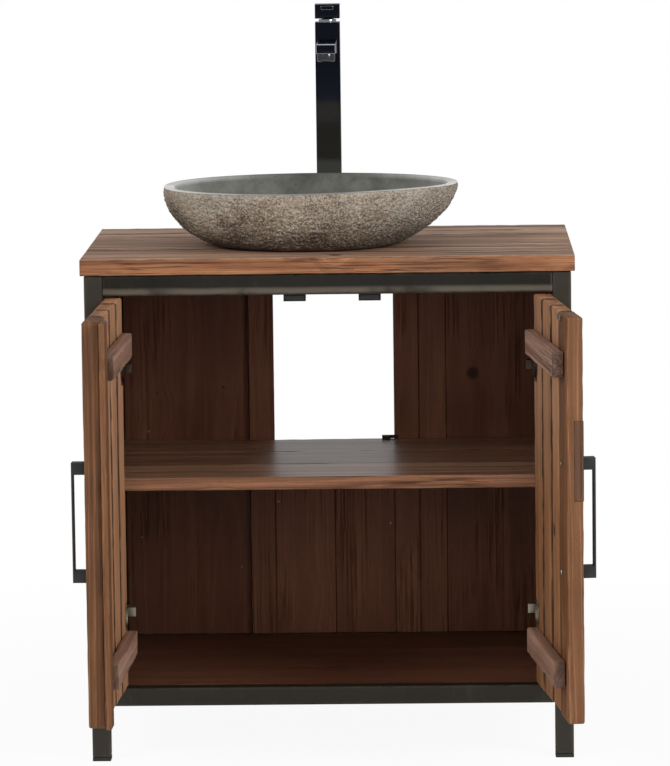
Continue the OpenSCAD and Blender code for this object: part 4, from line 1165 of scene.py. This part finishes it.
@dataclass
class Carcass:
    """Side boards, back boards, shelf, floor and the rails that carry them."""

    side_x: float = 390.0
    side_t: float = 20.0
    stile_w: float = 43.0
    gap_left: float = 105.0
    gap_right: float = 102.0
    narrow_w: float = 47.0
    shelf_t: float = 22.0
    shelf_y: float = 42.0
    floor_t: float = 20.0
    cleat: float = 18.0
    bearer_w: float = 30.0
    bearer_h: float = 10.0
    stain: float = 1.3
    shadow: float = 13.0

    def boards(self, node: str, seed: int, *bars: Bar, **marks: object) -> None:
        """Builds one node's boards with one seed. The marks are other fields of the boards."""
        fields = {"finish": Finish.INSIDE, "stain": self.stain, **marks}
        Boards(node, bars=list(bars), seed=seed, **fields).build()

    def build(self) -> None:
        """Builds the carcass."""
        high, depth = (PLAN.low_rail_top, PLAN.rail_z), (PLAN.tube, PLAN.frame_d - PLAN.tube)
        side_x, shelf_low = self.side_x - self.side_t, PLAN.shelf_z - self.shelf_t
        floor_low = PLAN.low_rail_top - self.floor_t
        inner = (-PLAN.inner_x, PLAN.inner_x)
        for side in Side:
            x = side.span(side_x, self.side_x)
            panels = [Bar(x, y, high, Along.Z, worn=0.3, ripple=0.3) for y in thirds(depth)]
            self.boards(f"side_boards_{side.word}", 31 + side.value, *panels)
        self.back(high, (PLAN.low_rail_top, shelf_low))
        x, z = (-side_x, side_x), (shelf_low, PLAN.shelf_z)
        shelf = [Bar(x, y, z, Along.X, worn=0.6, ripple=0.5) for y in thirds((self.shelf_y, PLAN.stile_y))]
        self.boards("shelf_boards", 46, *shelf, finish=Finish.SHELF)
        z = (floor_low, PLAN.low_rail_top)
        floor = [Bar(inner, y, z, Along.X, worn=0.5, ripple=0.4) for y in thirds((PLAN.tube, PLAN.stile_y))]
        self.boards("floor_boards", 47, *floor)
        y, z = (self.shelf_y + self.cleat, PLAN.stile_y), (shelf_low - self.cleat, shelf_low)
        cleats = [Bar(side.span(side_x - self.cleat, side_x), y, z, Along.Y) for side in Side]
        self.boards("shelf_cleats", 48, *cleats)
        half, z = self.bearer_w / 2, (floor_low - self.bearer_h, floor_low)
        bearers = [Bar((x - half, x + half), depth, z, Along.Y) for x in (-PLAN.inner_x / 2, PLAN.inner_x / 2)]
        self.boards("floor_bearers", 49, *bearers)
        self.boards("catch_rail", 50, Bar(inner, (PLAN.tube, PLAN.tube * 2), (PLAN.rail_z, PLAN.under_top)))
        softened("shelf_clip", Finish.PLASTIC, 0.5)
        softened("catch_bodies", Finish.PLASTIC, 1.2)
        Finish.MAGNET.dress(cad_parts["catch_magnets"])

    def back(self, high: Span, below: Span) -> None:
        """Builds the back boards and the two upright battens beside the opening.

        Args:
            high: The full span along Z.
            below: The span below the opening.
        """
        rear = PLAN.back_y + PLAN.back_t
        back, stile = (PLAN.back_y, rear), (PLAN.stile_y, rear)
        left, right = -self.gap_left - self.stile_w, self.gap_right + self.stile_w
        narrow, middle = right + self.narrow_w, (self.gap_right - self.gap_left) / 2
        rough = {"along": Along.Z, "worn": 0.4, "ripple": 0.4}
        stiles = [Bar(x, stile, high, **rough) for x in ((left, -self.gap_left), (self.gap_right, right))]
        self.boards("back_stile_left", 41, stiles[0], tones=(0.75,))
        self.boards("back_stile_right", 42, stiles[1], tones=(0.9,))
        wide = Bar((-PLAN.inner_x, left), back, high, **rough)
        # The dark band beside the stile is a painted shadow.
        self.boards("back_boards_left", 43, wide, tones=(0.6,), near=(stiles[0],), stain=self.shadow)
        pair = [Bar(x, back, high, **rough) for x in ((right, narrow), (narrow, PLAN.inner_x))]
        self.boards("back_boards_right", 44, *pair, tones=(0.8, 0.62))
        # The boards below the shelf get light tones, painted light in the shade under the shelf.
        pair = [Bar(x, back, below, **rough) for x in ((-self.gap_left, middle), (middle, self.gap_right))]
        self.boards("back_boards_centre", 45, *pair, tones=(1.0, 0.9))


@dataclass
class Nails:
    """Nail heads in the back boards, as places along X and Z."""

    places: tuple[Span, ...] = (
        (-306.0, 546.0), (-192.0, 553.0), (-323.0, 477.0), (-338.0, 292.0), (-165.0, 238.0),
        (-100.0, 353.0), (94.0, 313.0),
    )
    radius: float = 2.2
    rise: float = 0.7
    root: float = 0.6

    def build(self) -> None:
        """Builds the heads, each a low dome whose root lies in the board."""
        skin, seat, angle = Skin(), Seat.cabinet(), circle(24)
        turn = np.radians([0.0, 0.0, 30.0, 60.0, 85.0])[:, None]
        radius, rise = self.radius * np.cos(turn), self.rise * np.sin(turn)
        rise[0] = -self.root
        for x, z in self.places:
            skin.loft(rings_at(x + radius * np.cos(angle), PLAN.back_y - rise, z + radius * np.sin(angle)))
        finish_piece(skin.make("nail_heads", seat), seat, Finish.ZINC)


@dataclass
class Door:
    """A door of upright boards with battens, handle and hinge halves, drawn closed and on the left.

    "sunk", "tones" and "faded" say how far each board has sunk, its tone, and how much painted light
    lightens the inner face. The high tones also lighten the inner faces as painted light.
    """

    side: Side
    sunk: tuple[float, ...]
    tones: tuple[float, ...]
    faded: Span
    thick: float = 28.0
    low: float = 124.0
    high: float = 762.0
    width: float = 358.5
    hinge_gap: float = 4.0
    joint: float = 0.6
    # Reach of the dark joints: painted shade in the grooves between the boards.
    stain: float = 9.8
    outer_share: float = 0.3
    batten_h: float = 40.0
    batten_t: float = 18.0
    batten_inset: float = 55.0
    batten_gaps: Point = (24.0, 33.0, 20.0)
    strip_w: float = 40.0
    strip_t: float = 10.0
    strip_reach: float = 15.0
    strip_seat: float = 0.05
    patch: tuple[float, float, float, float] = (475.0, 126.0, 12.0, 15.0)
    cup: Point = (22.5, 17.5, 11.5)
    cup_inset: float = 118.0
    corner: Point = (11.1, 13.5, 18.2)
    fit: float = 0.2
    past: float = 1.0

    @property
    def hinge_x(self) -> float:
        """Place of its hinge edge."""
        return -PLAN.inner_x + self.hinge_gap

    @property
    def free_x(self) -> float:
        """Place of its meeting edge."""
        return self.hinge_x + self.width

    def dress(self, part: str, finish: Finish, bars: list[Bar], seed: int, **marks: object) -> None:
        """Builds one node's boards. The part is the node's name after the door's."""
        Boards(f"door_{self.side.word}_{part}", finish, bars, seed, Seat.door(self.side), **marks).build()

    def build(self) -> None:
        """Builds the door."""
        x, height = (self.hinge_x, self.free_x), (self.low, self.high)
        bars = []
        for index, sunk in enumerate(self.sunk):
            y = (sunk * self.outer_share, self.thick - sunk)
            board = span_of(x, len(self.sunk), index, self.joint)
            bars.append(Bar(board, y, height, Along.Z, 3.2, 1.4, 0.4))
        marks = {"cutter": self.recesses(), "tones": self.tones, "stain": self.stain, "faded": self.faded}
        self.dress("boards", Finish.DOOR, bars, 61 + self.side.value, **marks)
        self.battens()
        if self.side is Side.LEFT:
            edge = self.free_x + self.strip_reach
            y = (self.thick + self.strip_seat, self.thick + self.strip_t)
            strip = Bar((edge - self.strip_w, edge), y, height, Along.Z, 1.6, 0.8, 0.3)
            marks = {"tones": (0.3,), "name": "door_left_strip_teak"}
            self.dress("cover_strip", Finish.DOOR, [strip], 69, **marks)
        else:
            start, tall, deep, thick = self.patch
            x, z = (self.free_x - deep, self.free_x), (start, start + tall)
            self.dress("patch", Finish.PATCH, [Bar(x, (0.0, thick), z, Along.Z, 1.0, 0.4, 0.2)], 70)
        body = Seat.door(self.side).body
        softened(body + "_handle", Finish.HANDLE, 1.0, body)
        eased = (
            ("handle_screws", 0.4), ("strike", 0.4), ("hinge_cups", 0.35), ("hinge_leaves", 0.3),
            ("hinge_pins", 0.3),
        )
        for part, width in eased:
            softened(f"{body}_{part}", Finish.ZINC, width, body)

    def battens(self) -> None:
        """Builds the two battens, which are dark at their sawn ends."""
        hinge_gap, strip_gap, free_gap = self.batten_gaps
        start = self.hinge_x + hinge_gap
        end = self.free_x - (strip_gap if self.side is Side.LEFT else free_gap)
        y = (self.thick, self.thick + self.batten_t)
        lows = (self.low + self.batten_inset, self.high - self.batten_inset - self.batten_h)
        spans = [(z, z + self.batten_h) for z in lows]
        bars = [Bar((start, end), y, z, Along.X, 1.6, worn=1.2, ripple=0.6) for z in spans]
        beyond = ((start - self.strip_t, start), (end, end + self.strip_t))
        near = tuple(Bar(x, y, z) for z in spans for x in beyond)
        self.dress("battens", Finish.BATTEN, bars, 65 + self.side.value, near=near)

    def recesses(self) -> Skin:
        """Returns solids to take out of the boards: hinge cups, corner recesses and the patch's bed."""
        tool, angle = Skin(), circle(48)
        place, radius, deep = self.cup
        wide, into, tall = self.corner
        y = np.array([[self.thick - deep], [self.thick + 2.0 * self.past]])
        for z in (self.low + self.cup_inset, self.high - self.cup_inset):
            x = self.hinge_x + place + radius * np.cos(angle)
            tool.loft(rings_at(x, y, z + radius * np.sin(angle)))
            self.bed(tool, (self.hinge_x - self.past, self.hinge_x + wide), into, (z - tall, z + tall))
        if self.side is Side.RIGHT:
            start, tall, deep, thick = self.patch
            x = (self.free_x - deep - self.fit, self.free_x + self.past)
            self.bed(tool, x, thick + self.fit, (start - self.fit, start + tall + self.fit))
        return tool

    def bed(self, tool: Skin, x: Span, into: float, z: Span) -> None:
        """Adds a box that opens in the door's outer face and goes some way into the door."""
        tool.loft(Bar(x, (-self.past, into), z, Along.Z, self.fit).rings(0))


@dataclass
class Basin:
    """A river-stone bowl: a skin over rings.

    They run out over the base, up the outside, over the rim and down into the bowl.
    """

    width: float = 484.0
    depth: float = 380.0
    tall: float = 100.0
    draw: tuple[float, float, float, float] = (119.0, 120.0, 50.0, 90.0)
    rim_w: float = 17.0
    rim_round: float = 1.5
    rim_run: float = 2.0
    floor: float = 24.0
    hole_r: float = 22.45
    flat_r: float = 34.0
    plan_power: float = 2.25
    bowl_power: float = 2.4
    lump: float = 1.2
    steps: int = 560

    def plan(self, angle: np.ndarray, margin: float = 0.0) -> np.ndarray:
        """Returns the plan radius: a superellipse, flattened a little here and there.

        Args:
            angle: Angles round the plan, in radians.
            margin: How far inside the outline.
        """
        wide = np.abs(np.cos(angle)) / (self.width / 2 - margin)
        deep = np.abs(np.sin(angle)) / (self.depth / 2 - margin)
        flats = 1.0 + 0.012 * np.sin(2 * angle + math.radians(30))
        flats = flats + 0.008 * np.sin(3 * angle + math.radians(200))
        return (wide**self.plan_power + deep**self.plan_power) ** (-1.0 / self.plan_power) * flats

    def build(self) -> None:
        """Builds the basin. Its rim rises to the back and swells at the right."""
        angle = circle(self.steps)
        cosine, sine = np.cos(angle), np.sin(angle)
        radius, height, marks = self.profile(angle)
        rings = rings_at(PLAN.basin_x + radius * cosine, PLAN.basin_y + radius * sine, height)
        honed, rim, high = (marks[:, index:index + 1] for index in range(3))
        rough = (1.0 - honed) * np.minimum(1.0, high * 12.0) * np.minimum(1.0, (1.0 - high) * 14.0)
        peck, dents = (
            waves(rings.reshape(-1, 3), seed, size, octaves).reshape(radius.shape)
            for seed, size, octaves in ((5, 30.0, 4), (6, 9.0, 2))
        )
        shift = np.clip(rough, 0.0, 1.0) * (0.6 * peck + 0.95 * dents)
        rings[..., 0] += shift * cosine
        rings[..., 1] += shift * sine
        skin, seat = Skin(), Seat.cabinet()
        skin.torus(rings)
        made = skin.make("basin_stone", seat, 60.0)
        # Painted highlight on the rim: strongest at the left and right ends, weaker at the front, none at the
        # back, and running a short way down the bowl's wall at the ends.
        ends = np.abs(cosine)
        bright = np.where(sine > 0.0, 0.0, 0.22) + 0.78 * ends**3
        face = np.tile(marks[:, None], (1, self.steps, 1))
        face[..., 1] *= np.where(rim == 1.0, bright, 0.42 * ends**8)
        made.data.attributes.new("face", "FLOAT_VECTOR", "POINT").data.foreach_set("vector", face.ravel())
        finish_piece(made, seat, Finish.STONE, "basin")

    def profile(self, angle: np.ndarray) -> tuple[np.ndarray, np.ndarray, np.ndarray]:
        """Draws the rings, each with a radius and a height for every angle.

        Args:
            angle: Angles round the plan, in radians.

        Returns:
            The radii, the heights, and for each ring how honed it is, the rim and its share of the height.
        """
        rows = []

        def row(radius: object, height: object, honed: float, rim: float = 0.0, share: float = 0.5) -> None:
            """Keeps one ring with its marks."""
            rows.append((*np.broadcast_arrays(radius, height, angle)[:2], (honed, rim, share)))

        cosine, sine, turn = np.cos(angle), np.sin(angle), np.degrees(angle)
        left, right, front, back = self.draw
        draw = np.where(cosine > 0, right, left) * cosine**2 + np.where(sine > 0, back, front) * sine**2
        power = np.where(cosine > 0.0, 2.05 - 0.50 * cosine**2, 2.05 + 0.05 * cosine)
        swell = np.maximum(0.0, np.cos(angle + math.radians(38))) ** 4
        full, lip = self.plan(angle), self.plan(angle, self.rim_w)
        rim = PLAN.top_z + self.tall + 2.5 * sine + 4.0 * swell
        edge, bowl_z = rim - self.rim_round, PLAN.top_z + self.floor
        base = full - draw
        for share in np.linspace(0.0, 1.0, 7)[:-1]:
            row(self.hole_r + share * (base - self.hole_r), PLAN.top_z, 0.0, share=0.0)
        for high in np.linspace(0.0, 1.0, 64) ** 1.25:
            inset = draw * (1.0 - (1.0 - (1.0 - high) ** power) ** (1.0 / power))
            swing = np.sin(np.radians(5 * turn + 200 * high)) + 0.7 * np.sin(np.radians(9 * turn - 310 * high))
            lumps = self.lump * high * (1.0 - high) * 4.0 * swing
            row(full - inset + lumps, PLAN.top_z + high * (edge - PLAN.top_z), 0.0, share=float(high))
        for bend in np.radians([20.0, 45.0, 70.0, 90.0]):
            radius = full - self.rim_run * (1.0 - math.cos(bend))
            row(radius, edge + self.rim_round * math.sin(bend), 1.0, 1.0, 1.0)
        for share in (0.2, 0.5, 0.8, 1.0):
            row(full - self.rim_run - share * (self.rim_w - 5.0), rim - 0.3 * share, 1.0, 1.0, 1.0)
        for share in 1.0 - np.linspace(0.0, 1.0, 56) ** 1.7:
            rise = 1.0 - (1.0 - share**self.bowl_power) ** (1.0 / self.bowl_power)
            # Rows near the rim carry the rim mark that the painted highlight uses at the ends.
            near_rim = max(0.0, (float(share) - 0.88) / 0.12)
            row(self.flat_r + share * (lip - self.flat_r), bowl_z + rise * (edge - bowl_z), 1.0, near_rim)
        for radius in (31.0, 26.0, self.hole_r):
            row(radius, bowl_z, 1.0)
        for share in (0.66, 0.33):
            row(self.hole_r, PLAN.top_z + share * self.floor, 1.0)
        radii, heights, marks = (np.array(column) for column in zip(*rows))
        return radii, heights, marks


@dataclass
class Waste:
    """Press-plug waste with its tail and backnut."""

    floor: float = 24.0
    flange_t: float = 3.0
    gap: float = 0.3
    travel: float = 8.0
    stem_r: float = 3.5
    stem_l: float = 37.0

    def build(self) -> None:
        """Builds the plug, a stem under a shallow dome, and dresses the rest."""
        low = PLAN.top_z + self.floor + self.flange_t + self.gap + self.travel
        stem = [(0.05, low - self.stem_l), (self.stem_r, low - self.stem_l), (self.stem_r, low)]
        rim = [(26.8, low), (27.7, low + 0.3), (28.0, low + 1.0), (28.0, low + 2.4)]
        angle = np.radians(np.linspace(0.0, 88.0, 12))
        dome = [(27.2 * math.cos(turn), low + 3.2 + 2.8 * math.sin(turn)) for turn in angle]
        skin, seat = Skin(), Seat.cabinet("plug")
        skin.turned(stem + rim + dome, (PLAN.basin_x, PLAN.basin_y), 96)
        finish_piece(skin.make("waste_plug_chrome", seat), seat, Finish.CHROME, "waste_plug")
        softened("waste_body", Finish.CHROME, 0.5)
        softened("waste_nut", Finish.BRASS, 0.8)


@dataclass
class Tap:
    """A tall square tap with a flat spout and a lever block."""

    slot_w: float = 20.0
    slot_h: float = 6.0
    slot_z: float = 1206.5
    corner_r: float = 1.0
    rim_r: float = 0.5

    def build(self) -> None:
        """Builds the tap."""
        softened("tap_body", Finish.GLOSS, 0.7, sharp=25.0)
        softened("tap_aerator", Finish.OUTLET, 0.9)
        softened("tap_nut", Finish.BRASS, 0.8)
        softened("tap_cartridge", Finish.CHROME, 0.5, "tap_swivel")
        softened("tap_lever", Finish.GLOSS, 0.7, "tap_handle", 25.0)
        self.slot_rim()

    def slot_rim(self) -> None:
        """Builds a bright chrome rim round the lever's slot, standing in for the highlight on the slot's edges:
        a small round carried along a rounded oblong.
        """
        turn, round_ = circle(48)[:, None], circle(10)
        across, upward = (
            np.sign(way) * (size / 2 - self.corner_r) + self.corner_r * way
            for way, size in ((np.cos(turn), self.slot_w), (np.sin(turn), self.slot_h))
        )
        outward = self.rim_r * np.cos(round_)
        y = PLAN.tap_y - PLAN.column / 2 + self.rim_r * (0.9 + np.sin(round_))
        x, z = PLAN.tap_x + across + np.cos(turn) * outward, self.slot_z + upward + np.sin(turn) * outward
        skin, seat = Skin(), Seat.cabinet("tap_handle")
        skin.torus(rings_at(x, y, z))
        finish_piece(skin.make("lever_slot_rim", seat), seat, Finish.CHROME)


@dataclass
class Hinges:
    """The fixed halves of the concealed hinges."""

    ease: float = 0.5

    def build(self) -> None:
        """Dresses the arms."""
        for side in Side:
            softened(f"hinge_arms_{side.word}", Finish.ZINC, self.ease)


@dataclass
class Studio:
    """Camera, lamps and floor."""

    focal: float = 220.04
    place: Point = (0.1527818, -7.61015, 1.570)
    yaw: float = 1.16
    pitch: float = -7.19
    roll: float = 0.72
    sensor: float = 36.0
    far: float = 200.0
    reach: float = 60.0
    ambient: float = 0.42

    def camera(self) -> None:
        """Makes the camera at the photograph's viewing angle."""
        turn = (
            Matrix.Rotation(math.radians(self.yaw), 3, "Z")
            @ Matrix.Rotation(math.radians(self.pitch), 3, "X")
            @ Matrix.Rotation(math.radians(self.roll), 3, "Y")
        )
        data = bpy.data.cameras.new("camera")
        data.lens = self.focal
        data.sensor_width, data.clip_end = self.sensor, self.far
        camera = add_object("camera", data)
        right, ahead, up = (turn.col[index] for index in range(3))
        basis = Matrix((right, up, -ahead)).transposed().to_4x4()
        camera.matrix_world = Matrix.Translation(self.place) @ basis
        bpy.context.scene.camera = camera

    def lamp(
        self, name: str, place: Point, size: Span, power: float, aim: Point, mirrored: bool = True
    ) -> None:
        """Hangs a soft box.

        Args:
            name: Its name.
            place: Where it hangs, in metres.
            size: Its width and height, in metres.
            power: Its power in watts.
            aim: What it points at.
            mirrored: Whether glossy surfaces mirror it.
        """
        data = bpy.data.lights.new(name, "AREA")
        data.shape = "RECTANGLE"
        data.size, data.size_y = size
        data.energy = power
        lamp = add_object(name, data)
        lamp.visible_glossy = mirrored
        way = Matrix.Translation(place).translation - Matrix.Translation(aim).translation
        lamp.matrix_world = Matrix.Translation(place) @ way.to_track_quat("Z", "Y").to_matrix().to_4x4()

    def floor(self) -> None:
        """Lays a pale floor that turns to plain white away from the object."""
        mesh = bpy.data.meshes.new("floor")
        corners = ((-1, -1), (1, -1), (1, 1), (-1, 1))
        mesh.from_pydata([(x * self.reach, y * self.reach, 0) for x, y in corners], [], [(0, 1, 2, 3)])
        add_object("floor", mesh)
        shade = Shade("floor_white")
        shade.set(Base_Color=(0.86, 0.86, 0.86), Roughness=0.9)
        glow = shade.node("ShaderNodeEmission", None, {"Color": (1.0, 1.0, 1.0), "Strength": 1.0})
        seen = shade.node("ShaderNodeLightPath", output="Is Camera Ray")
        far = shade.length(shade.place()).between(0.4, 2.2)
        factor = seen * (far * 0.07 + 0.93)
        shade.show(shade.node("ShaderNodeMixShader", None, {0: factor, 1: shade.surface, 2: glow}))
        mesh.materials.append(shade.material)

    def world(self) -> None:
        """Makes the surroundings white where they are seen, and grey where they light the object."""
        world = bpy.data.worlds.new("surroundings")
        world.use_nodes = True
        graph = Graph(world.node_tree)
        seen = graph.node("ShaderNodeLightPath", output="Is Camera Ray")
        dim, bright = (
            graph.node("ShaderNodeBackground", None, {"Color": (1.0, 1.0, 1.0), "Strength": strength})
            for strength in (self.ambient, 1.0)
        )
        mixed = graph.node("ShaderNodeMixShader", None, {0: seen, 1: dim, 2: bright})
        graph.show(mixed, "ShaderNodeOutputWorld")
        bpy.context.scene.world = world

    def build(self) -> None:
        """Sets up the studio."""
        self.floor()
        self.world()
        self.lamp("key", (-3.3, -3.1, 3.3), (2.0, 1.6), 120.0, (0.0, 0.0, 0.6))
        self.lamp("fill", (3.3, -3.0, 2.6), (1.8, 1.8), 135.0, (0.0, 0.0, 0.5))
        self.lamp("front", (0.3, -5.2, 2.0), (2.4, 1.8), 52.0, (0.0, 0.0, 0.5), mirrored=False)
        bpy.context.scene.view_settings.view_transform = "Standard"


def main() -> None:
    """Builds the studio and every sub-assembly."""
    logging.basicConfig(level=logging.INFO, format="%(name)s: %(message)s")
    studio = Studio()
    studio.camera()
    studio.build()
    # The doors' high tones and faded lighten their inner faces: painted light.
    doors = (
        Door(Side.LEFT, sunk=(0.0, 1.6, 3.0, 0.0), tones=(1.5, 1.6, 1.4, 0.32), faded=(0.32, 0.36)),
        Door(Side.RIGHT, sunk=(0.0, 1.7, 3.4, 1.2), tones=(1.0, 1.2, 1.25, 0.5), faded=(0.0, 0.30)),
    )
    for part in (SteelFrame(), Worktop(), Carcass(), Nails(), *doors, Hinges(), Basin(), Waste(), Tap()):
        part.build()
        LOG.info("built %s", type(part).__name__)


if __name__ == "__main__":
    main()
